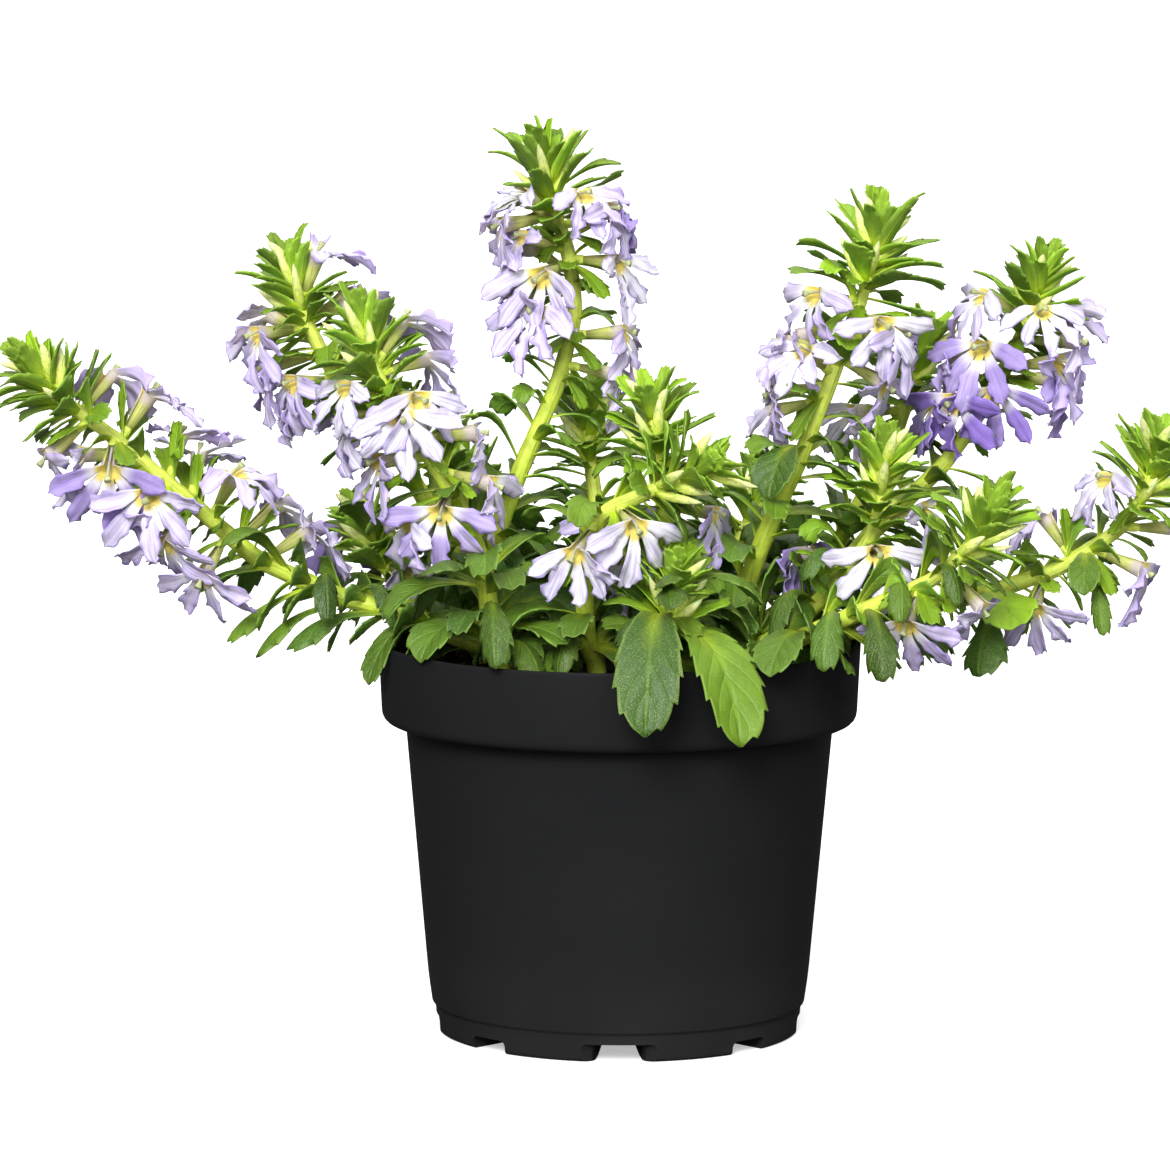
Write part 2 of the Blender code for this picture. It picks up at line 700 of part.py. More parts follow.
class Plant:
    """Places the shoots' pieces one by one, keeping those of different solids clear of each other."""

    def __init__(self, pot, soil):
        self.taken = []
        self.pieces = {name: [] for name in SHOOTS}
        self.paths = {name: Path(shoot) for name, shoot in SHOOTS.items()}
        self.blooms = []
        for thing in (pot, soil):
            shape = bmesh.new()
            shape.from_mesh(thing.data)
            self.take(thing.name, shape)
            shape.free()

    def take(self, owner, shape):
        places = [vertex.co for vertex in shape.verts]
        low = Vector([min(place[axis] for place in places) for axis in range(3)])
        high = Vector([max(place[axis] for place in places) for axis in range(3)])
        self.taken.append((owner, low, high, BVHTree.FromBMesh(shape)))

    def is_clear(self, owner, shape):
        places = [vertex.co for vertex in shape.verts]
        low = [min(place[axis] for place in places) for axis in range(3)]
        high = [max(place[axis] for place in places) for axis in range(3)]
        tree = BVHTree.FromBMesh(shape)
        for other, other_low, other_high, other_tree in self.taken:
            apart = any(low[axis] > other_high[axis] or high[axis] < other_low[axis] for axis in range(3))
            if other != owner and not apart and tree.overlap(other_tree):
                return False
        return True

    def first_clear(self, owner, shape_of):
        """The first shifted shape that touches nothing of another solid, or None."""
        for turn, lift in SHIFTS:
            swollen = shape_of(turn, lift, GAP)
            clear = self.is_clear(owner, swollen)
            swollen.free()
            if clear:
                return turn, lift
        return None

    def add(self, owner, shape):
        self.take(owner, shape)
        self.pieces[owner].append(shape)

    def add_stems(self):
        for name, path in self.paths.items():
            self.add(name, make_stem(name, path))

    def add_blooms(self):
        numbers = {name: 0 for name in SHOOTS}
        for bloom in BLOOMS:
            path = self.paths[bloom.shoot]
            stalk, _ = path.place(bloom.below_tip * MM)
            reach = path.radius(bloom.below_tip * MM) + OVARY_LENGTH - 0.6 * MM

            def shape_of(turn, lift, margin):
                heading = compass(bloom.azimuth + turn, bloom.rise + lift)
                return bloom_shape(stalk + heading * (reach + GAP), heading, bloom, margin)

            shift = self.first_clear(None, shape_of)
            if shift is None:
                continue
            numbers[bloom.shoot] += 1
            name = f"bloom_{bloom.shoot}_{numbers[bloom.shoot]}"
            shape = shape_of(*shift, 0.0)
            self.take(name, shape)
            self.blooms.append((name, mesh_of(name, shape)))
            heading = compass(bloom.azimuth + shift[0], bloom.rise + shift[1])
            self.add(bloom.shoot, ovary_shape(stalk + heading * (reach - OVARY_LENGTH), heading))

    def add_large_leaves(self):
        for leaf in LARGE_LEAVES:
            root, _ = self.paths[leaf.shoot].place(leaf.below_tip * MM)

            def shape_of(turn, lift, margin):
                heading = compass(leaf.azimuth + turn, leaf.rise + lift)
                blade = Blade(
                    root, heading, UP, -leaf.droop * UP, leaf.length * MM, leaf.half_width * MM, TOOTHED, 2
                )
                return blade_shape(blade, margin)

            self.settle(leaf.shoot, shape_of)

    def add_blades(self, blades_of):
        for name, shoot in SHOOTS.items():
            for turn, rise, blade in blades_of(shoot, self.paths[name]):

                def shape_of(more_turn, lift, margin):
                    return blade_shape(aimed(blade, turn + more_turn, rise + lift), margin)

                self.settle(name, shape_of)

    def add_buds(self):
        for name, shoot in SHOOTS.items():
            for number in range(shoot.buds):
                root, tip = self.paths[name].place((BUD_STEP[0] + BUD_STEP[1] * number) * MM)
                blade = Blade(root, tip, tip, tip, BUD_LENGTH, BUD_RADIUS, LANCE)
                turn = shoot.first_turn + BUD_TURN + TURN * number
                rise = BUD_RISE[0] - BUD_RISE[1] * number

                def shape_of(more_turn, lift, margin):
                    heading = aimed(blade, turn + more_turn, rise + lift).heading
                    return bud_shape(root, heading, BUD_LENGTH, BUD_RADIUS, margin)

                self.settle(name, shape_of)

    def settle(self, owner, shape_of):
        shift = self.first_clear(owner, shape_of)
        if shift is not None:
            self.add(owner, shape_of(*shift, 0.0))

    def make_objects(self, collection):
        green = {"young": (0.21, 0.40, 0.06), "old": (0.10, 0.22, 0.05)}
        for name, shapes in self.pieces.items():
            objects = [bpy.data.objects.new(name, mesh_of(name, shape)) for shape in shapes]
            shoot = add_object(f"shoot_{name}", objects[0].data, collection)
            bpy.data.objects.remove(objects[0])
            combine(shoot, objects[1:], "UNION")
            tone = green["old"] if name.startswith(("back", "front")) else green["young"]
            shoot.data.materials.append(material(f"shoot_{name}", tone, 0.6))
        for name, mesh in self.blooms:
            bloom = add_object(name, mesh, collection)
            bloom.data.materials.append(material(name, (0.42, 0.34, 0.72), 0.65))


def main():
    for old in list(bpy.data.objects):
        bpy.data.objects.remove(old)
    collection = bpy.data.collections.new("potted_fan_flower")
    bpy.context.scene.collection.children.link(collection)
    plant = Plant(make_pot(collection), make_soil(collection))
    plant.add_stems()
    plant.add_blooms()
    plant.add_large_leaves()
    plant.add_blades(head_blades)
    plant.add_buds()
    plant.add_blades(stem_blades)
    plant.make_objects(collection)


main()
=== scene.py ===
"""The looks of a potted fan flower: fine leaves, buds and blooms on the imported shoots, in its pot.

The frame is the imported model's: +Z is up, the front is at -Y and the pot's foot stands at zero.
Lengths in the layout tables are in millimetres, and become metres where a shape is made from them.
"""

import sys
import logging
import math
from collections.abc import Callable, Iterable, Iterator
from dataclasses import dataclass, field, replace
from enum import Enum
from random import Random

import bmesh
import bpy
import numpy as np
from bpy.types import ID, Material, Mesh, Node, NodeOutputs, NodeSocket, NodeTree, Object
from mathutils import Matrix, Vector, noise
from mathutils.bvhtree import BVHTree


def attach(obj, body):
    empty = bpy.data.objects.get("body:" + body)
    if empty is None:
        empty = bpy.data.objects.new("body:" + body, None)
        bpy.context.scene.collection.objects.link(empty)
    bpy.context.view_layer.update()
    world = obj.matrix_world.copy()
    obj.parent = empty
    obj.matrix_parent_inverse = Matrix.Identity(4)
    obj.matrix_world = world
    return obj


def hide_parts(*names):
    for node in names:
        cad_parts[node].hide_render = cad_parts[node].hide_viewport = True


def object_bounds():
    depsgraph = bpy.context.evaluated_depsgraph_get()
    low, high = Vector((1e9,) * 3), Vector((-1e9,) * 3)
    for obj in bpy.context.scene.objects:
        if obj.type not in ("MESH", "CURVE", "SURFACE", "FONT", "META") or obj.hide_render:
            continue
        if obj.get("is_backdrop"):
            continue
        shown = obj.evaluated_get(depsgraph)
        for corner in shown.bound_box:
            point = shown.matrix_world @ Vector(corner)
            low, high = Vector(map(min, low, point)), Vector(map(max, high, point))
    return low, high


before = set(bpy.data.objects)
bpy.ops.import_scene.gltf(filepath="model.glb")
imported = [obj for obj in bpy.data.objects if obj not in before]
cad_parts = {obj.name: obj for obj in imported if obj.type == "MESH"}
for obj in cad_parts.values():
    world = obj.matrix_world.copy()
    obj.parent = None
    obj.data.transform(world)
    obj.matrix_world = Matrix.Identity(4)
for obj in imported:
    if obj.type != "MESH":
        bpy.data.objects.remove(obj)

LOG = logging.getLogger("potted_fan_flower")
CAD_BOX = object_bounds()
BODY = "root"

MM = 0.001
# How far solids that touch are kept apart, and how near to each other points are joined
GAP = 0.3 * MM
MEETING = 0.002 * MM
UP = np.array((0.0, 0.0, 1.0))
BACK = np.array((0.0, 1.0, 0.0))
# The turn from one leaf of a stem to the next, in degrees
TURN = 137.5

Array = np.ndarray
# The points of a grid by row and column, and four numbers for each of them, its mark
Surface = tuple[Array, Array]
Point = tuple[float, float, float]
Shift = tuple[float, float]
Colour = tuple[float, float, float]
Knots = tuple[tuple[float, float], ...]


def unit(rows: Array) -> Array:
    """Vectors scaled to length one, along the last axis."""
    return rows / np.maximum(np.linalg.norm(rows, axis=-1, keepdims=True), 1e-12)


def compass(azimuth: float, rise: float) -> Array:
    """The direction at this azimuth (0 is +X, 90 the back) and this many degrees above level."""
    turn, lift = math.radians(azimuth), math.radians(rise)
    return np.array((math.cos(lift) * math.cos(turn), math.cos(lift) * math.sin(turn), math.sin(lift)))


def ease(low: float, high: float, value: Array) -> Array:
    """A smooth step from 0 at low to 1 at high."""
    share = np.clip((value - low) / (high - low), 0.0, 1.0)
    return share * share * (3.0 - 2.0 * share)


def through(knots: Knots, share: Array) -> Array:
    """A smooth curve through the knots, read at these shares.

    Args:
        knots: pairs of (share along, value), in rising order.
        share: where the curve is read.

    Returns:
        The values there, by a cubic between each two knots.
    """
    at = np.array([knot[0] for knot in knots])
    value = np.array([knot[1] for knot in knots])
    slope = np.gradient(value, at)
    slope[0] = (value[1] - value[0]) / (at[1] - at[0])
    slope[-1] = (value[-1] - value[-2]) / (at[-1] - at[-2])
    index = np.clip(np.searchsorted(at, share, side="right") - 1, 0, len(at) - 2)
    width = at[index + 1] - at[index]
    t = (share - at[index]) / width
    return (
        value[index] * (1.0 + 2.0 * t) * (1.0 - t) ** 2
        + slope[index] * width * t * (1.0 - t) ** 2
        + value[index + 1] * t * t * (3.0 - 2.0 * t)
        + slope[index + 1] * width * t * t * (t - 1.0)
    )


def between(at: Array, reached: Array, places: Array) -> Array:
    """The places on a line at these distances along, from its known places and theirs."""
    return np.stack([np.interp(at, reached, places[:, axis]) for axis in range(3)], axis=-1)


# The plant's layout, as its solids have it


@dataclass(frozen=True)
class Shoot:
    """One leafy shoot: its stem's points, then how many head leaves, buds and stem leaves it has."""

    points: tuple[Point, ...]
    head: int = 5
    buds: int = 2
    leaves: int = 3
    leaf_length: float = 24.0
    first_turn: float = 0.0


SHOOTS: dict[str, Shoot] = {
    "left_long": Shoot(
        ((-27, -6, 102), (-42, -7, 107), (-58, -6, 114), (-75, -5, 118), (-97, -6, 128),
         (-116, -9, 145), (-137, -11, 163), (-149, -12, 172), (-156, -13, 180)),
        leaves=7, leaf_length=17, first_turn=40,
    ),
    "left_twig": Shoot(
        ((-37, 9, 102), (-52, 13, 111), (-63, 16, 122), (-70, 18, 137)),
        buds=1, first_turn=160,
    ),
    "left_high": Shoot(
        ((-25, 17, 102), (-36, 17, 111), (-46, 18, 130), (-60, 22, 153), (-76, 25, 172),
         (-86, 26, 190), (-90, 27, 205)),
        leaves=4, first_turn=80,
    ),
    "left_front": Shoot(
        ((-31, -22, 102), (-34, -31, 112), (-36, -34, 130), (-44, -34, 149), (-54, -33, 165),
         (-64, -31, 179), (-68, -30, 194)),
        leaves=4, first_turn=210,
    ),
    "centre_tall": Shoot(
        ((-20, 3, 102), (-30, 7, 112), (-34, 8, 132), (-27, 9, 151), (-17, 11, 174), (-12, 12, 194),
         (-14, 12, 209), (-19, 12, 224), (-21, 12, 236)),
        head=7, leaves=6, leaf_length=18, first_turn=300,
    ),
    "centre_back": Shoot(
        ((-8, 20, 102), (-8, 26, 110), (-5, 30, 130), (-8, 33, 150), (-9, 34, 167)),
        buds=1, leaves=4, leaf_length=22, first_turn=120,
    ),
    "centre_upright": Shoot(
        ((5, -8, 102), (9, -14, 114), (12, -18, 138), (10, -20, 158), (8, -21, 172)),
        first_turn=20,
    ),
    "centre_front": Shoot(
        ((-6, -21, 102), (-9, -29, 110), (-10, -34, 130), (-5, -37, 145), (8, -40, 151), (23, -42, 158)),
        leaf_length=20, first_turn=250,
    ),
    "front_low": Shoot(
        ((8, -31, 102), (10, -38, 107), (12, -42, 118), (14, -45, 130)),
        buds=0, leaves=2, leaf_length=22, first_turn=180,
    ),
    "right_tall": Shoot(
        ((24, 2, 102), (30, 0, 108), (38, -4, 133), (48, -6, 156), (57, -3, 179), (65, 0, 200),
         (69, 2, 217)),
        head=7, leaves=5, leaf_length=22, first_turn=60,
    ),
    "right_high": Shoot(
        ((36, 13, 102), (50, 15, 110), (68, 17, 133), (88, 17, 152), (100, 17, 170), (110, 17, 190),
         (114, 17, 205)),
        leaves=4, leaf_length=20, first_turn=330,
    ),
    "right_long": Shoot(
        ((38, -2, 102), (56, -4, 107), (76, -6, 115), (98, -8, 120), (118, -9, 127), (134, -10, 138),
         (141, -11, 149), (143, -12, 160)),
        leaves=6, leaf_length=17, first_turn=140,
    ),
    "right_front": Shoot(
        ((29, -21, 102), (43, -31, 109), (63, -39, 119), (82, -43, 128), (92, -45, 138), (97, -46, 147)),
        leaf_length=20, first_turn=280,
    ),
    "right_short": Shoot(
        ((27, -9, 102), (40, -13, 107), (58, -17, 123), (68, -18, 138), (70, -18, 159)),
        leaf_length=22, first_turn=200,
    ),
    "right_twig": Shoot(
        ((30, 27, 102), (44, 31, 109), (60, 35, 128), (76, 38, 158), (83, 38, 184)),
        buds=1, first_turn=100,
    ),
    "back_left": Shoot(
        ((-18, 32, 102), (-28, 42, 110), (-38, 54, 128), (-44, 61, 146)),
        leaf_length=22,
    ),
    "back_right": Shoot(
        ((12, 34, 102), (20, 44, 110), (34, 54, 126), (40, 60, 144)),
        leaf_length=22, first_turn=220,
    ),
}


@dataclass(frozen=True)
class LargeLeaf:
    """A leaf that hangs over the rim or stands out of the plant, set by compass and lift."""

    shoot: str
    below_tip: float
    azimuth: float
    rise: float
    length: float
    half_width: float
    droop: float
    age: float = 0.85


LARGE_LEAVES: tuple[LargeLeaf, ...] = (
    LargeLeaf("front_low", 14, 262, 20, 57, 8.8, 4.2, 0.95),
    LargeLeaf("front_low", 21, 300, 22, 56, 9.8, 3.8, 0.62),
    LargeLeaf("left_long", 134, 215, 22, 34, 5.0, 3.4),
    LargeLeaf("left_front", 96, 200, 25, 30, 7.5, 2.6),
    LargeLeaf("right_front", 92, 318, 16, 40, 4.2, 2.6),
    LargeLeaf("right_short", 62, 330, 10, 30, 6.0, 3.8),
    LargeLeaf("right_front", 62, 235, 12, 32, 6.5, 1.6),
    LargeLeaf("right_long", 64, 280, 5, 27, 8.5, 1.2, 0.3),
    LargeLeaf("left_long", 84, 195, -5, 23, 4.4, 0.6),
    LargeLeaf("right_long", 36, 265, 0, 20, 4.5, 2.4),
    LargeLeaf("right_tall", 62, 240, 10, 26, 6.5, 3.4, 0.95),
    LargeLeaf("centre_front", 62, 195, 20, 30, 7.0, 1.8),
    LargeLeaf("back_left", 44, 130, 15, 34, 8.0, 2.8),
    LargeLeaf("back_right", 52, 60, 15, 34, 8.0, 2.8),
    LargeLeaf("right_twig", 100, 40, 15, 32, 7.5, 2.6),
    LargeLeaf("left_twig", 58, 165, 15, 30, 7.0, 2.4),
)


@dataclass(frozen=True)
class Bloom:
    """One bloom: its shoot, how far below the tip it stands, its compass direction and its lift."""

    shoot: str
    below_tip: float
    azimuth: float
    rise: float
    size: float = 1.0
    depth: float = 0.35


# Shoot, how far below the tip, compass direction, lift, size and depth of colour
BLOOMS = tuple(
    Bloom(*row)
    for row in (
        ("left_long", 17, 50, 40, 1, 0.3), ("left_long", 20, 195, -40, 1, 0.35),
        ("left_long", 38, 215, -40, 0.95, 0.5), ("left_long", 62, 330, 58, 1, 0.4),
        ("left_long", 54, 235, -35, 1, 0.4), ("left_twig", 9, 125, 15, 1, 0.8),
        ("left_high", 18, 200, -5, 1, 0.5), ("left_high", 17, 15, 35, 1, 0.45),
        ("left_high", 34, 215, 0, 0.95, 0.35), ("left_front", 26, 190, -5, 1, 0.15),
        ("left_front", 14, 25, 15, 1, 0.5), ("left_front", 20, 345, 0, 1, 0.15),
        ("left_front", 34, 325, 5, 1, 0.25), ("left_front", 56, 205, -10, 1, 0.15),
        ("centre_tall", 17, 190, -8, 1, 0.4), ("centre_tall", 20, 340, 20, 1, 0.3),
        ("centre_tall", 36, 205, -10, 1, 0.2), ("centre_tall", 50, 345, 5, 1, 0.4),
        ("centre_upright", 28, 345, -5, 0.9, 0.6), ("centre_front", 27, 290, -15, 1, 0.1),
        ("right_tall", 26, 190, -15, 1, 0.35), ("right_tall", 30, 335, 5, 1, 0.45),
        ("right_tall", 20, 250, 10, 1, 0.3), ("right_tall", 44, 185, -8, 0.95, 0.4),
        ("right_high", 14, 195, 28, 1, 0.2), ("right_high", 20, 350, 0, 1, 0.25),
        ("right_high", 36, 225, -5, 1.05, 0.95), ("right_high", 32, 285, -5, 1, 0.7),
        ("right_short", 26, 280, 0, 1, 0.0), ("right_short", 32, 205, 0, 1, 0.8),
        ("right_front", 28, 245, -40, 0.95, 0.6), ("right_front", 20, 325, -45, 0.9, 0.2),
        ("right_long", 24, 0, 0, 0.95, 0.35), ("right_long", 40, 160, 55, 0.9, 0.4),
        ("right_long", 34, 340, -20, 1, 0.35), ("left_high", 44, 100, 15, 1, 0.4),
        ("back_left", 24, 130, 10, 1, 0.35), ("centre_back", 34, 80, 5, 1, 0.5),
        ("back_right", 26, 45, 10, 1, 0.3),
    )
)

# Finer blooms between those above: how far below the tip, compass direction, lift and, for some, how
# much deeper in colour
MORE_BLOOMS: dict[str, tuple[tuple[float, ...], ...]] = {
    "left_long": (
        (30, 40, 62), (47, 60, 62), (71, 30, 55), (28, 252, -35), (45, 240, -25), (68, 235, -45),
        (80, 20, 60), (55, 80, 62), (36, 200, -10),
    ),
    "left_twig": ((14, 300, 0),),
    "left_high": (
        (12, 20, 45), (15, 340, 30), (26, 190, -20), (30, 0, 12), (40, 25, 8), (22, 178, 8), (37, 185, -5),
    ),
    "left_front": (
        (12, 60, 30), (24, 290, 0), (40, 200, 5), (44, 340, -5), (50, 255, -10), (30, 180, 8), (20, 230, 0),
    ),
    "centre_tall": (
        (27, 180, 26), (33, 168, 24), (41, 188, 22), (48, 200, 5), (29, 350, 22), (58, 350, -10),
        (22, 200, 30), (24, 10, 25), (30, 225, -5), (37, 180, 14), (16, 310, 15),
    ),
    "centre_back": ((28, 300, 0),),
    "centre_upright": ((34, 200, -5),),
    "centre_front": ((34, 240, -30),),
    "right_tall": ((35, 176, 12), (41, 200, 5), (48, 174, 8), (53, 192, -5), (36, 350, -5), (24, 300, 10)),
    "right_high": (
        (17, 300, 12), (26, 180, 10), (28, 330, -5, 0.2), (41, 200, 0, 0.3), (30, 250, -10, 0.55),
        (18, 20, 15), (24, 230, 5, 0.25),
    ),
    "right_long": ((48, 250, -35), (14, 200, 10)),
    "right_short": ((20, 330, 10),),
    "right_twig": ((20, 200, 0),),
    "back_left": ((30, 60, 0),),
    "back_right": ((34, 120, 0),),
}

# Finer hanging leaves: how far below the tip, compass direction, lift, length, half width and droop
MORE_LEAVES: dict[str, tuple[tuple[float, float, float, float, float, float], ...]] = {
    "left_long": (
        (107, 205, -5, 33, 5, 1.4), (121, 214, -12, 36, 6, 1.2), (95, 190, -20, 28, 4.6, 0.9),
        (131, 240, -5, 32, 5.5, 1.8), (76, 200, -30, 24, 4.2, 0.7),
    ),
    "right_front": ((44, 300, -15, 30, 3.8, 2.2),),
    "right_long": ((62, 250, -35, 28, 6.5, 1.0), (34, 280, -50, 26, 2.8, 0.8)),
}

# Turns to one side and lifts, in degrees, that the solids' pieces were tried at to stand clear
SHIFTS: tuple[Shift, ...] = (
    (0, 0), (13, 0), (-13, 0), (0, 12), (0, -12), (26, 0), (-26, 0),
    (13, 14), (-13, 14), (40, 0), (-40, 0), (26, 20), (-26, 20), (60, 8), (-60, 8),
)

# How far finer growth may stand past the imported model's box
ROOM_SHARE = 0.02
ROOM = 7.0 * MM

SOIL_TOP = 98.0 * MM
SOIL_GAP = 1.0 * MM
STEM_HOLE_DEPTH = 8.0 * MM
STEM_BASE_RADIUS = 2.0 * MM
STEM_TIP_RADIUS = 1.1 * MM
STEM_TAPER = 1.3
HEAD_STEP = 2.3
HEAD_RISE = (74.0, 12.0)
HEAD_LENGTH = (11.0, 1.0)
HEAD_WIDTH = (1.8, 0.1)
ROOT_OFFSET = 0.5 * MM
LEAF_RISE = 28.0
BUD_LENGTH = 13.0 * MM
BUD_RADIUS = 1.5 * MM
BUD_STEP = (4.0, 2.0)
BUD_RISE = (62.0, 8.0)
BUD_TURN = 60.0
STOUT = 1.3
OVARY_LENGTH = 3.6 * MM
OVARY_RADIUS = 1.2 * MM
OVARY_SINK = 0.6 * MM
LEAF_THICKNESS = 0.35 * MM
PETAL_THICKNESS = 0.26 * MM
TUBE_LENGTH = 10.0 * MM
TUBE_RADII = (1.1 * MM, 2.3 * MM)
TUBE_OPENING = 150.0
LOBES = 5
LOBE_FAN = 0.64
LOBE_LENGTH = 16.0 * MM
LOBE_SPREAD = (0.9, 1.08)
LOBE_TRIM = 0.96
LOBE_SWAY = 5.0
LOBE_FLARE = (0.35, 0.6)
STYLE_REACH = 14.0 * MM
STYLE_SIDES = 8


class Graph:
    """A node tree that is being wired, with short ways to add the nodes that it needs."""

    def __init__(self, tree: NodeTree) -> None:
        """Keeps the tree."""
        self.tree = tree

    def node(self, kind: str, **settings: object) -> Node:
        """Adds a node.

        Args:
            kind: the node's type.
            settings: values for its properties.

        Returns:
            The node.
        """
        made = self.tree.nodes.new(kind)
        for name, value in settings.items():
            setattr(made, name, value)
        return made

    def feed(self, socket: NodeSocket, value: object) -> None:
        """Gives an input its value.

        Args:
            socket: the input.
            value: a number or colour to set on it, or the output to link to it.
        """
        if isinstance(value, NodeSocket):
            self.tree.links.new(value, socket)
        elif isinstance(value, tuple) and socket.type == "RGBA":
            socket.default_value = (*value, 1.0)
        else:
            socket.default_value = value

    def put(self, node: Node, **values: object) -> None:
        """Feeds a node's inputs by their names, whose spaces are underscores here."""
        for name, value in values.items():
            self.feed(node.inputs[name.replace("_", " ")], value)

    def math(self, operation: str, *values: object, clamp: bool = False) -> NodeSocket:
        """Works a sum out.

        Args:
            operation: what the Math node does.
            values: what it does it to.
            clamp: whether the result is kept between 0 and 1.

        Returns:
            The result.
        """
        made = self.node("ShaderNodeMath", operation=operation, use_clamp=clamp)
        for socket, value in zip(made.inputs, values):
            self.feed(socket, value)
        return made.outputs[0]

    def times(self, value: object, other: object) -> NodeSocket:
        """Two values multiplied."""
        return self.math("MULTIPLY", value, other)

    def less(self, value: object, other: object) -> NodeSocket:
        """The first value less the second."""
        return self.math("SUBTRACT", value, other)

    def scaled(self, value: object, factor: object, plus: object) -> NodeSocket:
        """The value times a factor, plus another value."""
        return self.math("MULTIPLY_ADD", value, factor, plus)

    def step(self, value: object, low: float, high: float, top: float = 1.0) -> NodeSocket:
        """A smooth step.

        Args:
            value: what is stepped.
            low: where the result is still 0, on either side of high.
            high: where it has reached its top.
            top: the largest result.

        Returns:
            The step's result.
        """
        falling = low > high
        ends = (high, low, top, 0.0) if falling else (low, high, 0.0, top)
        made = self.node("ShaderNodeMapRange", interpolation_type="SMOOTHSTEP")
        self.put(made, Value=value, From_Min=ends[0], From_Max=ends[1], To_Min=ends[2], To_Max=ends[3])
        return made.outputs["Result"]

    def mix(self, share: object, low: object, high: object, blend: str = "MIX") -> NodeSocket:
        """Mixes two colours.

        Args:
            share: how much of the second colour there is.
            low: the first colour.
            high: the second colour.
            blend: how the second lies on the first.

        Returns:
            The colour between them.
        """
        made = self.node("ShaderNodeMix", data_type="RGBA", blend_type=blend)
        self.feed(made.inputs["Factor"], share)
        self.feed(made.inputs[6], low)
        self.feed(made.inputs[7], high)
        return made.outputs[2]

    def shaded(self, colour: NodeSocket, shade: NodeSocket) -> NodeSocket:
        """Makes a colour lighter or darker.

        Args:
            colour: the colour.
            shade: the number that it is multiplied by.

        Returns:
            The shaded colour.
        """
        grey = self.node("ShaderNodeCombineColor")
        for socket in grey.inputs:
            self.feed(socket, shade)
        return self.mix(1.0, colour, grey.outputs["Color"], "MULTIPLY")

    def place(self, kind: str = "Object") -> NodeSocket:
        """The place on the surface, in coordinates of this kind."""
        return self.node("ShaderNodeTexCoord").outputs[kind]

    def axes(self, place: NodeSocket) -> NodeOutputs:
        """The X, Y and Z of a place."""
        made = self.node("ShaderNodeSeparateXYZ")
        self.put(made, Vector=place)
        return made.outputs

    def noise(self, dimensions: str = "3D", **values: object) -> NodeSocket:
        """The cloudy pattern of a Noise node with these inputs."""
        made = self.node("ShaderNodeTexNoise", noise_dimensions=dimensions)
        self.put(made, **values)
        return made.outputs["Fac"]

    def marks(self) -> tuple[NodeSocket, ...]:
        """Reads the mark of a mesh's points.

        Returns:
            The four numbers that each point carries.
        """
        read = self.node("ShaderNodeAttribute", attribute_name="mark")
        parts = self.node("ShaderNodeSeparateColor")
        self.put(parts, Color=read.outputs["Color"])
        return (*parts.outputs, read.outputs["Alpha"])

    def group(self, tree: NodeTree, **values: object) -> NodeOutputs:
        """Places a node group, feeds its inputs and gives its outputs by name."""
        made = self.node("ShaderNodeGroup", node_tree=tree)
        self.put(made, **values)
        return made.outputs

    def bump(self, height: NodeSocket, strength: float, distance: float) -> NodeSocket:
        """The normal bent by a height; a height of 1 stands out by the distance."""
        made = self.node("ShaderNodeBump")
        self.put(made, Strength=strength, Distance=distance, Height=height)
        return made.outputs["Normal"]


def new_group(
    name: str, inputs: dict[str, float], outputs: tuple[str, ...]
) -> tuple[Graph, NodeOutputs, Node]:
    """An empty node group.

    Args:
        name: the group's name.
        inputs: its input sockets and their usual values.
        outputs: its output sockets, all numbers.

    Returns:
        The graph to wire, the values that it is given, and the node that takes its results.
    """
    tree = bpy.data.node_groups.new(name, "ShaderNodeTree")
    for title, usual in inputs.items():
        tree.interface.new_socket(title, in_out="INPUT", socket_type="NodeSocketFloat").default_value = usual
    for title in outputs:
        tree.interface.new_socket(title, in_out="OUTPUT", socket_type="NodeSocketFloat")
    graph = Graph(tree)
    return graph, graph.node("NodeGroupInput").outputs, graph.node("NodeGroupOutput")


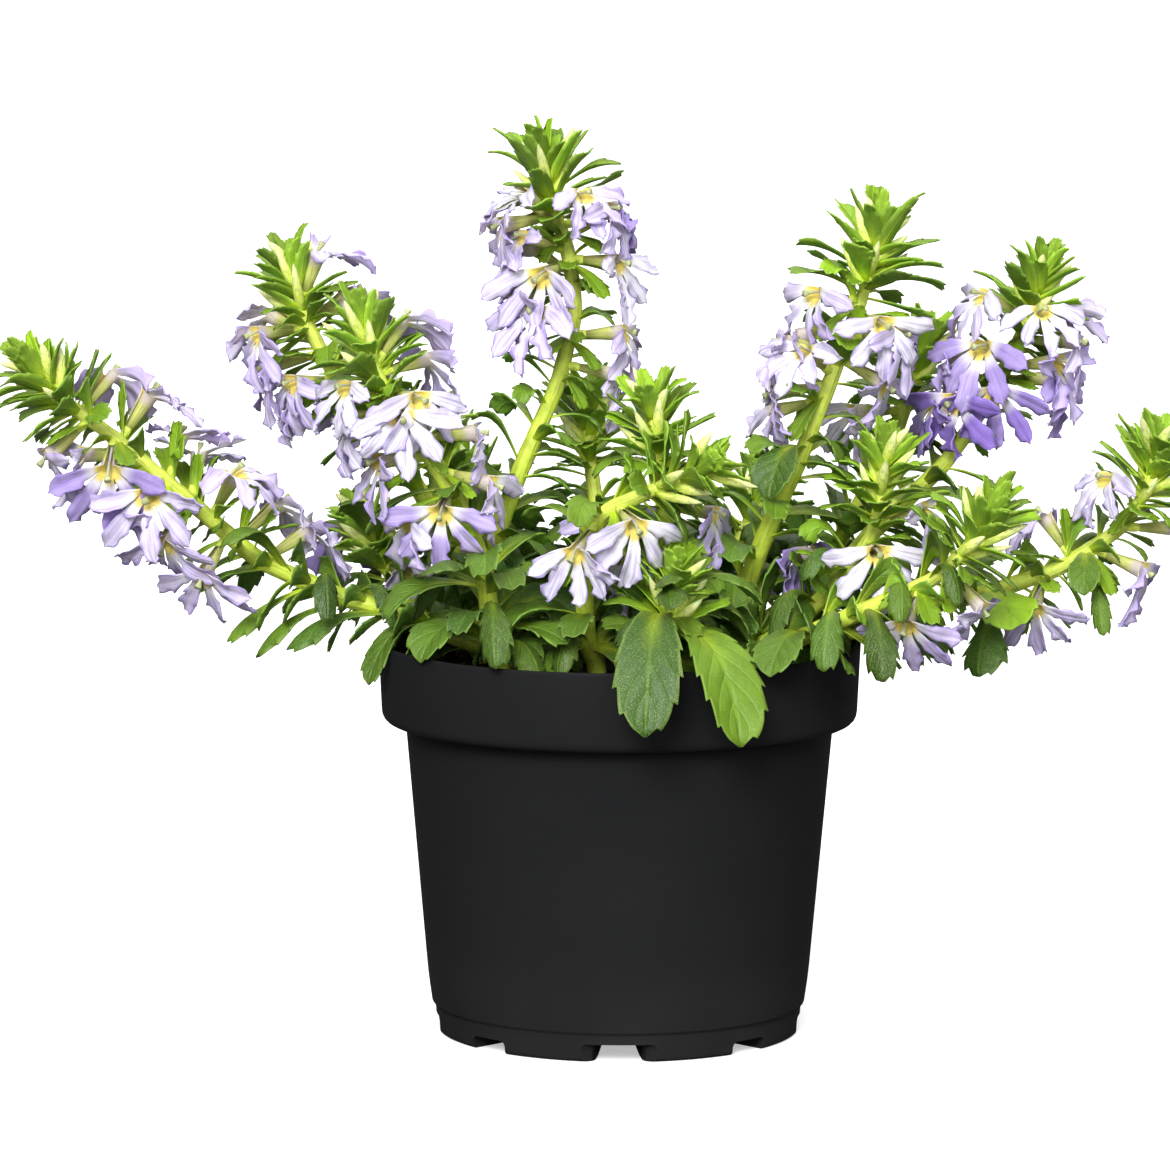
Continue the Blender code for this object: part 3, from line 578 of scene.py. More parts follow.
class Effects:
    """The surface effects that several finishes share, each a node group that is made once."""

    def __init__(self) -> None:
        """Makes every group."""
        self.mottle = self._mottle()
        self.hairs = self._hairs()
        self.veins = self._veins()
        self.lines = self._lines()

    @staticmethod
    def _mottle() -> NodeTree:
        """Soft patches.

        Returns:
            The group: its Shade is about 1, lighter and darker by Amount.
        """
        graph, given, result = new_group("mottle", {"Scale": 150.0, "Amount": 0.2}, ("Shade",))
        cloud = graph.noise(Vector=graph.place(), Scale=given["Scale"], Detail=3.0)
        swing = graph.times(graph.less(cloud, 0.5), 4.0)
        graph.put(result, Shade=graph.scaled(swing, given["Amount"], 1.0))
        return graph.tree

    @staticmethod
    def _hairs() -> NodeTree:
        """Short pale hairs.

        Returns:
            The group: its Mask is 1 on a hair, and its Height stands up with it.
        """
        graph, given, result = new_group("hairs", {"Scale": 3200.0, "Cover": 0.4}, ("Mask", "Height"))
        speck = graph.noise(Vector=graph.place(), Scale=given["Scale"], Detail=1.0)
        edge = graph.less(0.82, graph.times(given["Cover"], 0.4))
        mask = graph.math("MULTIPLY", graph.less(speck, edge), 8.0, clamp=True)
        graph.put(result, Mask=mask, Height=speck)
        return graph.tree

    @staticmethod
    def _veins() -> NodeTree:
        """A leaf's middle rib and its side veins, from the place along and across the leaf.

        Returns:
            The group: masks of its Rib, Side veins, Edge and pale Heart.
        """
        inputs = {"Along": 0.0, "Across": 0.5, "Count": 7.0, "Slant": 0.28}
        graph, given, result = new_group("veins", inputs, ("Rib", "Side", "Edge", "Heart"))
        out = graph.math("ABSOLUTE", graph.scaled(given["Across"], 2.0, -1.0))
        phase = graph.times(graph.less(given["Along"], graph.times(out, given["Slant"])), given["Count"])
        line = graph.math("ABSOLUTE", graph.less(graph.math("FRACT", phase), 0.5))
        graph.put(
            result,
            Rib=graph.step(out, 0.14, 0.02),
            Side=graph.times(graph.step(line, 0.13, 0.02), graph.step(out, 1.0, 0.55)),
            Edge=graph.step(out, 0.8, 1.0),
            Heart=graph.times(graph.step(out, 0.5, 0.05), graph.step(given["Along"], 0.66, 0.25)),
        )
        return graph.tree

    @staticmethod
    def _lines() -> NodeTree:
        """Fine lines that run along a petal or a stem, uneven as grown ones are.

        Returns:
            The group: its Line is 1 on a line.
        """
        inputs = {"Across": 0.0, "Along": 0.0, "Count": 9.0, "Seed": 0.0}
        graph, given, result = new_group("lines", inputs, ("Line",))
        joined = graph.node("ShaderNodeCombineXYZ")
        across = graph.times(given["Across"], given["Count"])
        graph.put(joined, X=across, Y=graph.times(given["Along"], 1.1), Z=given["Seed"])
        streak = graph.noise(Vector=joined.outputs["Vector"], Scale=1.0, Detail=2.0)
        graph.put(result, Line=graph.step(streak, 0.46, 0.68))
        return graph.tree


def new_material(name: str) -> tuple[Material, Graph, Node]:
    """A material with the graph to wire and its Principled shader."""
    made = bpy.data.materials.new(name)
    made.use_nodes = True
    return made, Graph(made.node_tree), made.node_tree.nodes["Principled BSDF"]


@dataclass(frozen=True)
class LeafFinish:
    """One side of a leaf: bright and smooth when young, deep green and hairy when old, with a painted sheen
    of light on the hairs along its edge.
    """

    name: str
    young: Colour = (0.275, 0.465, 0.012)
    grown: Colour = (0.04, 0.098, 0.013)
    root: Colour = (0.6, 0.74, 0.03)
    vein: Colour = (0.2, 0.37, 0.04)
    # Colour of the pale hairs; along the edge it also paints their sheen of light
    hair: Colour = (0.38, 0.54, 0.12)
    hair_cover: float = 0.72
    vein_share: float = 0.2
    roughness: float = 0.46
    sunk: float = -1.0

    def material(self, effects: Effects) -> Material:
        """Wires the finish.

        Args:
            effects: the shared effects.

        Returns:
            The material, which reads each point's place along and across its leaf, its tone and its age.
        """
        made, graph, shader = new_material(self.name)
        along, across, tone, age = graph.marks()
        veins = graph.group(effects.veins, Along=along, Across=across)
        hairs = graph.group(effects.hairs, Cover=self.hair_cover)
        mottle = graph.group(effects.mottle, Scale=170.0, Amount=0.16)["Shade"]
        colour = graph.mix(age, self.young, self.grown)
        colour = graph.mix(graph.times(veins["Heart"], 0.5), colour, self.root)
        colour = graph.mix(graph.step(along, 0.45, 0.0, 0.88), colour, self.root)
        colour = graph.mix(graph.times(veins["Rib"], self.vein_share), colour, self.vein)
        colour = graph.mix(graph.times(veins["Side"], 0.5 * self.vein_share), colour, self.vein)
        colour = graph.shaded(colour, graph.times(mottle, graph.scaled(tone, 1.1, 0.45)))
        # Pale hair speckles, and a paler rim along the edge: the hairs' own colour plus a painted sheen of
        # light on them, more on older leaves
        hair_and_edge_sheen = graph.scaled(veins["Edge"], 0.35, graph.times(hairs["Mask"], 0.5))
        hair_and_edge_sheen = graph.times(hair_and_edge_sheen, graph.scaled(age, 0.5, 0.12))
        colour = graph.mix(hair_and_edge_sheen, colour, self.hair)
        relief = graph.scaled(veins["Side"], 0.6, veins["Rib"])
        height = graph.scaled(hairs["Height"], 0.5, graph.times(relief, self.sunk))
        rough = graph.scaled(mottle, 0.12, self.roughness - 0.12)
        graph.put(shader, Base_Color=colour, Normal=graph.bump(height, 0.55, 0.0004), Roughness=rough)
        graph.put(shader, Subsurface_Weight=0.18, Subsurface_Radius=(0.35, 1.0, 0.06))
        graph.put(shader, Subsurface_Scale=0.001, Specular_IOR_Level=0.36)
        return made


@dataclass(frozen=True)
class PetalFinish:
    """One side of a petal: lavender lobes round a white and yellow throat, with fine lines."""

    name: str
    pale: Colour = (0.85, 0.8, 0.93)
    lavender: Colour = (0.685, 0.605, 0.84)
    deep: Colour = (0.22, 0.13, 0.5)
    edge: Colour = (0.32, 0.23, 0.64)
    halo: Colour = (0.89, 0.86, 0.9)
    throat: Colour = (0.9, 0.7, 0.03)
    tube: Colour = (0.68, 0.68, 0.24)
    stripe: Colour = (0.36, 0.23, 0.14)
    rib: Colour = (0.29, 0.21, 0.6)
    rib_width: float = 0.16
    rib_share: float = 0.35
    halo_share: float = 0.85

    def material(self, effects: Effects) -> Material:
        """Wires the finish.

        Args:
            effects: the shared effects.

        Returns:
            The material, which reads the place along (0 at the mouth) and out from the middle of each lobe.
        """
        made, graph, shader = new_material(self.name)
        along, out, depth, seed = graph.marks()
        line = graph.group(effects.lines, Across=out, Along=along, Seed=graph.times(seed, 37.0))["Line"]
        mottle = graph.group(effects.mottle, Scale=260.0, Amount=0.1)["Shade"]
        colour = graph.mix(graph.step(depth, 0.0, 0.38), self.pale, self.lavender)
        colour = graph.mix(graph.step(depth, 0.42, 1.0), colour, self.deep)
        rim = graph.times(graph.step(out, 0.62, 1.0, 0.64), graph.step(along, 0.2, 0.6))
        colour = graph.mix(rim, colour, self.edge)
        colour = graph.mix(graph.times(line, 0.58), colour, self.rib)
        rib = graph.times(graph.step(out, self.rib_width, 0.02), self.rib_share)
        colour = graph.mix(rib, colour, self.rib)
        colour = graph.mix(graph.step(along, 0.4, 0.14, self.halo_share), colour, self.halo)
        colour = graph.mix(graph.step(along, 0.17, 0.05, self.halo_share), colour, self.throat)
        stripes = graph.mix(graph.times(line, 0.6), self.tube, self.stripe)
        colour = graph.mix(graph.step(along, -0.1, -0.4), colour, stripes)
        colour = graph.shaded(colour, mottle)
        normal = graph.bump(graph.scaled(mottle, 0.4, line), 0.45, 0.0003)
        graph.put(shader, Base_Color=colour, Normal=normal, Roughness=0.58, Specular_IOR_Level=0.3)
        graph.put(shader, Subsurface_Weight=0.16, Subsurface_Radius=(0.8, 0.6, 1.0), Subsurface_Scale=0.0015)
        return made


@dataclass(frozen=True)
class StemFinish:
    """Stems, ovaries and buds: green towards the tip, darker towards the foot."""

    name: str
    foot: Colour = (0.38, 0.5, 0.03)
    middle: Colour = (0.6, 0.76, 0.05)
    tip: Colour = (0.72, 0.83, 0.12)
    flush: Colour = (0.25, 0.12, 0.16)
    flush_share: float = 0.25
    hair: Colour = (0.62, 0.7, 0.45)

    def material(self, effects: Effects) -> Material:
        """Wires the finish.

        Args:
            effects: the shared effects.

        Returns:
            The material, which reads the share along the stem, the place round it, its tone and its flush.
        """
        made, graph, shader = new_material(self.name)
        along, around, tone, flush = graph.marks()
        line = graph.group(effects.lines, Across=around, Along=graph.times(along, 9.0), Count=14.0)["Line"]
        hairs = graph.group(effects.hairs, Scale=2600.0, Cover=0.5)
        mottle = graph.group(effects.mottle, Scale=320.0, Amount=0.2)["Shade"]
        colour = graph.mix(graph.step(along, 0.0, 0.45), self.foot, self.middle)
        colour = graph.mix(graph.step(along, 0.4, 1.0), colour, self.tip)
        colour = graph.mix(graph.times(flush, self.flush_share), colour, self.flush)
        colour = graph.shaded(colour, graph.scaled(line, -0.22, 1.08))
        colour = graph.shaded(colour, graph.times(mottle, graph.scaled(tone, 0.4, 0.8)))
        colour = graph.mix(graph.times(hairs["Mask"], 0.4), colour, self.hair)
        normal = graph.bump(graph.scaled(hairs["Height"], 0.7, line), 0.5, 0.0003)
        graph.put(shader, Base_Color=colour, Normal=normal, Roughness=0.48, Specular_IOR_Level=0.4)
        graph.put(shader, Subsurface_Weight=0.12, Subsurface_Scale=0.001)
        return made


@dataclass(frozen=True)
class PeatFinish:
    """Dark damp peat with browner and paler crumbs."""

    name: str
    dark: Colour = (0.022, 0.012, 0.007)
    brown: Colour = (0.085, 0.045, 0.024)
    pale: Colour = (0.23, 0.16, 0.095)

    def material(self, effects: Effects) -> Material:
        """Wires the finish.

        Args:
            effects: the shared effects.

        Returns:
            The material, which reads a crumb's own tone from its mark.
        """
        made, graph, shader = new_material(self.name)
        _, _, tone, _ = graph.marks()
        grain = graph.group(effects.mottle, Scale=900.0, Amount=0.5)["Shade"]
        patch = graph.group(effects.mottle, Scale=140.0, Amount=0.3)["Shade"]
        share = graph.math("MULTIPLY_ADD", grain, 0.5, graph.less(tone, 0.5), clamp=True)
        colour = graph.mix(share, self.dark, self.brown)
        colour = graph.mix(graph.step(tone, 0.93, 0.98), colour, self.pale)
        normal = graph.bump(graph.math("ADD", grain, patch), 1.0, 0.0009)
        graph.put(shader, Base_Color=graph.shaded(colour, patch), Normal=normal, Roughness=0.93)
        return made


@dataclass(frozen=True)
class PlasticFinish:
    """Matte black moulded plastic, with a pale parting line, faint rings and a little dust."""

    name: str
    black: Colour = (0.0125, 0.013, 0.0138)
    dust: Colour = (0.06, 0.057, 0.052)
    seam: Colour = (0.06, 0.062, 0.064)
    seam_height: float = 7.7 * MM
    roughness: float = 0.46

    def material(self, effects: Effects) -> Material:
        """Wires the finish.

        Args:
            effects: the shared effects.

        Returns:
            The material, which reads its height above the foot from the object's own coordinates.
        """
        made, graph, shader = new_material(self.name)
        height = graph.axes(graph.place())["Z"]
        patch = graph.group(effects.mottle, Scale=34.0, Amount=0.5)["Shade"]
        grain = graph.group(effects.mottle, Scale=2600.0, Amount=0.5)["Shade"]
        rings = graph.noise("1D", W=graph.times(height, 900.0), Scale=1.0, Detail=2.0)
        low = graph.step(height, 30.0 * MM, 4.0 * MM)
        dusty = graph.times(graph.scaled(low, 0.09, 0.035), patch)
        colour = graph.mix(dusty, self.black, self.dust)
        away = graph.math("ABSOLUTE", graph.less(height, self.seam_height))
        colour = graph.mix(graph.step(away, 0.35 * MM, 0.08 * MM, 0.8), colour, self.seam)
        rough = graph.scaled(patch, 0.07, self.roughness - 0.07)
        rough = graph.scaled(rings, 0.1, graph.less(rough, 0.05))
        relief = graph.scaled(rings, 0.8, graph.times(grain, 0.35))
        graph.put(shader, Base_Color=colour, Roughness=rough, Normal=graph.bump(relief, 0.3, 0.00012))
        graph.put(shader, Specular_IOR_Level=0.03)
        return made


@dataclass(frozen=True)
class Look:
    """How a piece is finished: its materials, in the order its faces count them, and its slot."""

    slot: str
    materials: tuple[Material, ...]


class Palette:
    """Every finish of the plant and its pot."""

    def __init__(self) -> None:
        """Makes the shared effects, then each look from them."""
        effects = Effects()
        upper = LeafFinish("leaf_upper").material(effects)
        under = LeafFinish(
            "leaf_underside",
            young=(0.27, 0.44, 0.03),
            grown=(0.085, 0.2, 0.028),
            vein=(0.3, 0.44, 0.1),
            hair_cover=0.6,
            roughness=0.6,
            sunk=1.0,
        ).material(effects)
        front = PetalFinish("petal_front").material(effects)
        back = PetalFinish(
            "petal_back",
            pale=(0.79, 0.73, 0.91),
            lavender=(0.58, 0.49, 0.8),
            tube=(0.62, 0.67, 0.18),
            edge=(0.36, 0.26, 0.66),
            rib=(0.4, 0.29, 0.66),
            halo_share=0.3,
        ).material(effects)
        stem = StemFinish("stem").material(effects)
        bud = StemFinish(
            "bud", foot=(0.52, 0.72, 0.03), middle=(0.78, 0.88, 0.17), tip=(0.85, 0.89, 0.42),
            flush_share=0.0,
        ).material(effects)
        style = StemFinish(
            "style", foot=(0.52, 0.48, 0.42), middle=(0.52, 0.46, 0.56), tip=(0.5, 0.56, 0.26)
        ).material(effects)
        self.leaf = Look("leafy_shoot", (upper, under))
        self.stem = Look("leafy_shoot", (stem,))
        self.bud = Look("leafy_shoot", (bud,))
        self.petal = Look("petal", (front, back, style))
        self.peat = Look("peat", (PeatFinish("peat_crumbs").material(effects),))
        self.plastic = Look("pot_plastic", (PlasticFinish("black_plastic").material(effects),))


def quads(rows: int, columns: int, ring: bool) -> Array:
    """The faces of a grid of points.

    Args:
        rows: how many rows it has.
        columns: how many columns it has.
        ring: whether the last column joins the first.

    Returns:
        The numbers of each face's four corners.
    """
    index = np.arange(rows * columns).reshape(rows, columns)
    if ring:
        index = np.concatenate((index, index[:, :1]), axis=1)
    corners = (index[:-1, :-1], index[:-1, 1:], index[1:, 1:], index[1:, :-1])
    return np.stack(corners, axis=-1).reshape(-1, 4)


def joined(name: str, surfaces: Iterable[Surface], ring: bool = False) -> Mesh:
    """Joins grids of points into one mesh, where they meet.

    Args:
        name: the mesh's name.
        surfaces: the grids by row and column, each with four numbers for each point as its mark.
        ring: whether each grid's last column joins its first.

    Returns:
        The mesh, which carries the marks.
    """
    places, marks, faces, count = [], [], [], 0
    for grid, mark in surfaces:
        faces.append(count + quads(*grid.shape[:2], ring))
        places.append(grid.reshape(-1, 3))
        marks.append(mark.reshape(-1, 4))
        count += len(places[-1])
    made = bpy.data.meshes.new(name)
    made.from_pydata(np.concatenate(places).tolist(), [], np.concatenate(faces).tolist())
    kept = made.attributes.new("mark", "FLOAT_COLOR", "POINT")
    kept.data.foreach_set("color", np.concatenate(marks).astype(np.float32).ravel())
    shape = bmesh.new()
    shape.from_mesh(made)
    bmesh.ops.remove_doubles(shape, verts=shape.verts, dist=MEETING)
    shape.to_mesh(made)
    shape.free()
    made.shade_smooth()
    return made


def marks_of(along: Array, across: Array, third: float, fourth: float) -> Array:
    """The marks of a grid's points.

    Args:
        along: the place along, by row.
        across: the place across, by column.
        third: a number that they all share.
        fourth: another.

    Returns:
        Four numbers for each point, by row and column.
    """
    made = np.empty((len(along), len(across), 4))
    made[..., 0] = along[:, None]
    made[..., 1] = across[None, :]
    made[..., 2] = third
    made[..., 3] = fourth
    return made


def tube(line: Array, radii: Array, sides: int) -> Array:
    """Rings of points round a line, each without a turn against the one before it.

    Args:
        line: the places that it runs through.
        radii: its radius at each of them.
        sides: how many points a ring has.

    Returns:
        The points, a ring to each place.
    """
    tangents = unit(np.gradient(line, axis=0))
    turns = np.linspace(0.0, math.tau, sides, endpoint=False)
    normal = unit(np.cross(tangents[0], (0.31, 0.93, 0.17)))
    rings = []
    for place, tangent, radius in zip(line, tangents, radii):
        normal = unit(normal - tangent * (normal @ tangent))
        side = np.cross(tangent, normal)
        rings.append(place + radius * (np.cos(turns)[:, None] * normal + np.sin(turns)[:, None] * side))
    return np.array(rings)


def placed(name: str, data: ID) -> Object:
    """A new object in the scene with this mesh, camera or light."""
    made = bpy.data.objects.new(name, data)
    bpy.context.scene.collection.objects.link(made)
    return made


def show(name: str, mesh: Mesh, look: Look, nodes: tuple[str, ...] = ()) -> None:
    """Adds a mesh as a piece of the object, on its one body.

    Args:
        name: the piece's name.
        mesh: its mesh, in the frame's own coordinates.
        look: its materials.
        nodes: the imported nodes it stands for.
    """
    piece = placed(name, mesh)
    for material in look.materials[len(mesh.materials):]:
        mesh.materials.append(material)
    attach(piece, BODY)
    if nodes:
        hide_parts(*nodes)
    LOG.info("%s: %d faces", name, len(mesh.polygons))


def modified(holder: Object) -> Mesh:
    """Trades an object for the mesh that its modifiers make.

    Args:
        holder: the object, which is removed.

    Returns:
        The mesh, under the object's name.
    """
    made = bpy.data.meshes.new_from_object(holder.evaluated_get(bpy.context.evaluated_depsgraph_get()))
    made.name = holder.name
    bpy.data.objects.remove(holder)
    return made


def thickened(mesh: Mesh, thickness: float, look: Look) -> Mesh:
    """Gives a sheet its thickness.

    Args:
        mesh: the sheet.
        thickness: how thick it becomes.
        look: its materials, the second of them for its underside and rim.

    Returns:
        The thick mesh.
    """
    for material in look.materials:
        mesh.materials.append(material)
    holder = placed(mesh.name, mesh)
    skin = holder.modifiers.new("skin", "SOLIDIFY")
    skin.thickness = thickness
    skin.offset = 0.0
    skin.material_offset = 1
    skin.material_offset_rim = 1
    return modified(holder)


class Path:
    """A stem's line from its foot in the soil to its tip, read by the distance below the tip."""

    def __init__(self, shoot: Shoot) -> None:
        """Joins the shoot's points, from a foot set in the soil.

        Args:
            shoot: the shoot.
        """
        nodes = np.array(shoot.points, float) * MM
        foot = (nodes[0][0], nodes[0][1], SOIL_TOP - STEM_HOLE_DEPTH + GAP)
        self.places = np.vstack((foot, nodes))
        spans = np.linalg.norm(np.diff(self.places, axis=0), axis=1)
        self.reach = np.concatenate(((0.0,), np.cumsum(spans)))

    @property
    def length(self) -> float:
        """The stem's whole length."""
        return float(self.reach[-1])

    def place(self, below_tip: float) -> tuple[Array, Array]:
        """Finds a place on the stem.

        Args:
            below_tip: its distance below the tip.

        Returns:
            The place, and the direction towards the tip.
        """
        along = min(max(self.length - below_tip, 0.0), self.length)
        index = min(max(int(np.searchsorted(self.reach, along)), 1), len(self.reach) - 1)
        one, other = self.places[index - 1], self.places[index]
        share = (along - self.reach[index - 1]) / (self.reach[index] - self.reach[index - 1])
        return one + (other - one) * share, unit(other - one)

    def radius(self, below_tip: float) -> float:
        """The stem's radius here: full at its foot and for the lowest part of its length."""
        share = min(1.0, STEM_TAPER * below_tip / self.length)
        return STEM_TIP_RADIUS + (STEM_BASE_RADIUS - STEM_TIP_RADIUS) * share

    def rounded(self, step: float = 2.0 * MM) -> Array:
        """The line with its corners rounded off.

        Args:
            step: about how far apart its points are.

        Returns:
            The points, at even steps.
        """
        along = np.linspace(0.0, self.length, max(8, round(self.length / step)) + 1)
        line = between(along, self.reach, self.places)
        wide = np.pad(line, ((2, 2), (0, 0)), mode="reflect", reflect_type="odd")
        weights = (0.12, 0.22, 0.32, 0.22, 0.12)
        return sum(weight * wide[start : start + len(line)] for start, weight in enumerate(weights))


class LeafKind(Enum):
    """The leaf shapes of the plant."""

    LANCE = "lance"
    SPOON = "spoon"
    BROAD = "broad"
    TOOTHED = "toothed"


@dataclass(frozen=True)
class LeafForm:
    """A leaf shape: its outline, teeth and relief as shares of the leaf's own length and half width."""

    outline: Knots
    solid_rows: tuple[float, ...]
    rows: int
    across: tuple[float, ...]
    teeth: int
    bite: float
    fold: float
    level: float
    wave: float
    quilt: float = 0.0
    staggered: bool = False
    span: tuple[float, float] = (0.36, 0.97)
    lean: float = 0.3
    tooth_rows: tuple[float, ...] = (0.5, 0.88, 0.97)

    def stations(self) -> Array:
        """Where along the leaf it has a row of points.

        Returns:
            The shares: even ones, and more at its teeth.
        """
        start, end = self.span
        pitch = (end - start) / max(1, self.teeth)
        found = list(np.linspace(0.0, 1.0, self.rows))
        for tooth in range(self.teeth):
            for at in self.tooth_rows:
                found.append(start + (tooth + at) * pitch)
                if self.staggered:
                    found.append(start + (tooth + (at + 0.5) % 1.0) * pitch)
        kept = [0.0]
        for at in sorted(found):
            if at - kept[-1] > 0.004:
                kept.append(at)
        return np.array(kept)

    def tooth(self, along: Array, across: Array) -> tuple[Array, Array]:
        """Shapes the leaf's teeth.

        Args:
            along: the shares along, by row.
            across: the shares across, by column.

        Returns:
            How much of the edge is there, 1 at a tooth's point and 0 in a notch, and where teeth are.
        """
        start, end = self.span
        shift = np.where(across > 0.0, 0.5 if self.staggered else 0.0, 0.0)
        phase = ((along[:, None] - start) / (end - start) * self.teeth + shift[None, :]) % 1.0
        saw = np.interp(phase, (0.0, 0.3, 0.6, 0.88, 0.97, 1.0), (0.0, 0.3, 0.62, 1.0, 0.05, 0.0))
        there = ease(start - 0.06, start + 0.03, along) * (1.0 - ease(0.94, 1.0, along))
        return saw, there[:, None]


SLIM_ACROSS = (-1.0, -0.5, 0.0, 0.5, 1.0)
SMALL_ACROSS = (-1.0, -0.6, -0.22, 0.0, 0.22, 0.6, 1.0)
BROAD_ACROSS = (-1.0, -0.72, -0.4, -0.14, 0.0, 0.14, 0.4, 0.72, 1.0)
FINE_ACROSS = (-1.0, -0.86, -0.68, -0.5, -0.33, -0.18, -0.07, 0.0, 0.07, 0.18, 0.33, 0.5, 0.68, 0.86, 1.0)
LEAF_FORMS: dict[LeafKind, LeafForm] = {
    LeafKind.LANCE: LeafForm(
        outline=((0, 0.5), (0.25, 0.8), (0.5, 1.0), (0.75, 0.82), (0.92, 0.42), (1, 0.04)),
        solid_rows=(0.5, 1.0), rows=6, across=SLIM_ACROSS, teeth=2, bite=0.16, fold=0.34, level=0.5,
        wave=0.1, span=(0.5, 0.94),
    ),
    LeafKind.SPOON: LeafForm(
        outline=((0, 0.2), (0.2, 0.32), (0.45, 0.68), (0.7, 1.0), (0.86, 0.86), (0.96, 0.45), (1, 0.04)),
        solid_rows=(0.4, 0.72, 1.0), rows=8, across=SMALL_ACROSS, teeth=3, bite=0.22, fold=0.26, level=0.4,
        wave=0.16, span=(0.45, 0.96),
    ),
    LeafKind.BROAD: LeafForm(
        outline=((0, 0.2), (0.2, 0.3), (0.42, 0.55), (0.68, 1.0), (0.84, 0.9), (0.95, 0.46), (1, 0.05)),
        solid_rows=(1.0,), rows=10, across=BROAD_ACROSS, teeth=4, bite=0.2, fold=-0.55, level=0.2, wave=0.26,
        quilt=0.03, staggered=True, span=(0.36, 0.96), tooth_rows=(0.4, 0.88, 0.97),
    ),
    LeafKind.TOOTHED: LeafForm(
        outline=((0, 0.2), (0.2, 0.34), (0.38, 0.58), (0.6, 1.0), (0.8, 0.97), (0.92, 0.62), (1, 0.05)),
        solid_rows=(0.35, 0.56, 0.64, 0.8, 1.0), rows=26, across=FINE_ACROSS, teeth=5, bite=0.12, fold=0.22,
        level=0.0, wave=0.2, quilt=0.05, staggered=True, span=(0.36, 0.96), lean=0.2,
        tooth_rows=(0.3, 0.6, 0.88, 0.97),
    ),
}


@dataclass(frozen=True)
class Blade:
    """A leaf's run: where it leaves the stem, its first direction, its bend, its face and its size."""

    root: Array
    heading: Array
    face: Array
    bend: Array
    length: float
    half_width: float
    kind: LeafKind

    def line(self, along: Array, steps: int = 48) -> tuple[Array, Array, Array]:
        """Follows the leaf's middle.

        Args:
            along: the shares along it to read.
            steps: how many straight runs it is made of.

        Returns:
            The places there, the headings and the normals.
        """
        middles = (np.arange(steps) + 0.5) / steps
        runs = unit(self.heading + self.bend * (middles**2)[:, None])
        reached = np.vstack((np.zeros(3), np.cumsum(runs, axis=0))) * self.length / steps
        at = np.linspace(0.0, 1.0, steps + 1)
        places = self.root + between(along, at, reached)
        headings = unit(self.heading + self.bend * (along**2)[:, None])
        normals = unit(self.face - (headings @ self.face)[:, None] * headings)
        return places, headings, normals


@dataclass(frozen=True)
class Leaf:
    """A leaf as it is shown: its blade, how light and how old it is, and its own small bends."""

    blade: Blade
    tone: float = 0.5
    age: float = 0.5
    twist: float = 0.0
    phase: float = 0.0

    def surface(self) -> Surface:
        """The leaf's toothed, folded and waved sheet.

        Returns:
            Its points and their marks.
        """
        form = LEAF_FORMS[self.blade.kind]
        along, across = form.stations(), np.array(form.across)
        places, headings, normals = self.blade.line(along)
        sides = np.cross(headings, normals)
        turn = (self.twist * along**2)[:, None]
        sides, normals = (
            sides * np.cos(turn) + normals * np.sin(turn),
            normals * np.cos(turn) - sides * np.sin(turn),
        )
        half = np.maximum(through(form.outline, along), 0.03)[:, None] * self.blade.half_width
        out = np.abs(across)[None, :]
        saw, there = form.tooth(along, across)
        wide = half * across * (1.0 - form.bite * there * (1.0 - saw) * out**4)
        pitch = self.blade.length * (form.span[1] - form.span[0]) / form.teeth
        ahead = there * saw * out**6 * form.lean * pitch
        lift = form.fold * half * (np.sqrt(out**2 + 0.02) - 0.14 - form.level)
        swing = math.tau * (1.4 * along[:, None] + self.phase) + np.where(across > 0.0, 1.9, 0.0)
        lift = lift + form.wave * half * out**2 * np.sin(swing) * along[:, None]
        ripple = np.cos(math.tau * 7.0 * (along[:, None] - 0.28 * out))
        lift = lift + form.quilt * half * ripple * np.minimum(1.0, 5.0 * out) * (1.0 - 0.7 * out)
        grid = (
            places[:, None]
            + sides[:, None] * wide[..., None]
            + normals[:, None] * lift[..., None]
            + headings[:, None] * ahead[..., None]
        )
        return grid, marks_of(along, 0.5 + 0.5 * across, self.tone, self.age)


def aimed(blade: Blade, turn: float, rise: float) -> Blade:
    """Heads a blade out from the stem.

    Args:
        blade: the blade, which faces the stem's tip.
        turn: how far round the stem it heads.
        rise: how far up from square to it.

    Returns:
        The blade, with its root at the stem's side.
    """
    tip = blade.face
    back = unit(BACK - (BACK @ tip) * tip)
    out = back * math.cos(math.radians(turn)) + np.cross(tip, back) * math.sin(math.radians(turn))
    lift = math.radians(rise)
    heading = out * math.cos(lift) + tip * math.sin(lift)
    return replace(blade, root=blade.root + out * ROOT_OFFSET, heading=heading)


@dataclass(frozen=True)
class Bud:
    """A flower bud: a slim tapering spike, a little bowed."""

    root: Array
    heading: Array
    length: float
    radius: float
    tone: float = 0.5
    hook: float = 0.12
    sides: int = 10

    PROFILE = ((0, 0.5), (0.15, 0.72), (0.35, 1.0), (0.55, 0.98), (0.75, 0.74), (0.92, 0.36), (1, 0.0))

    def surface(self) -> Surface:
        """The bud's rings.

        Returns:
            Its points and their marks.
        """
        along = np.array((0.0, 0.08, 0.17, 0.27, 0.38, 0.49, 0.6, 0.7, 0.79, 0.87, 0.93, 0.975, 1.0))
        level = unit(self.heading * (1.0, 1.0, 0.0) + (1e-6, 0.0, 0.0))
        bend = self.hook * self.length * np.sin(math.pi * along)
        line = self.root + self.heading * (along * self.length)[:, None]
        line = line + (UP - 0.4 * level) * bend[:, None] * 0.6
        radii = self.radius * np.maximum(through(self.PROFILE, along), 0.0)
        radii[-1] = 0.0
        flush = 1.0 - abs(self.tone - 0.5)
        marks = marks_of(along, np.linspace(0.0, 1.0, self.sides), self.tone, flush)
        return tube(line, radii, self.sides), marks


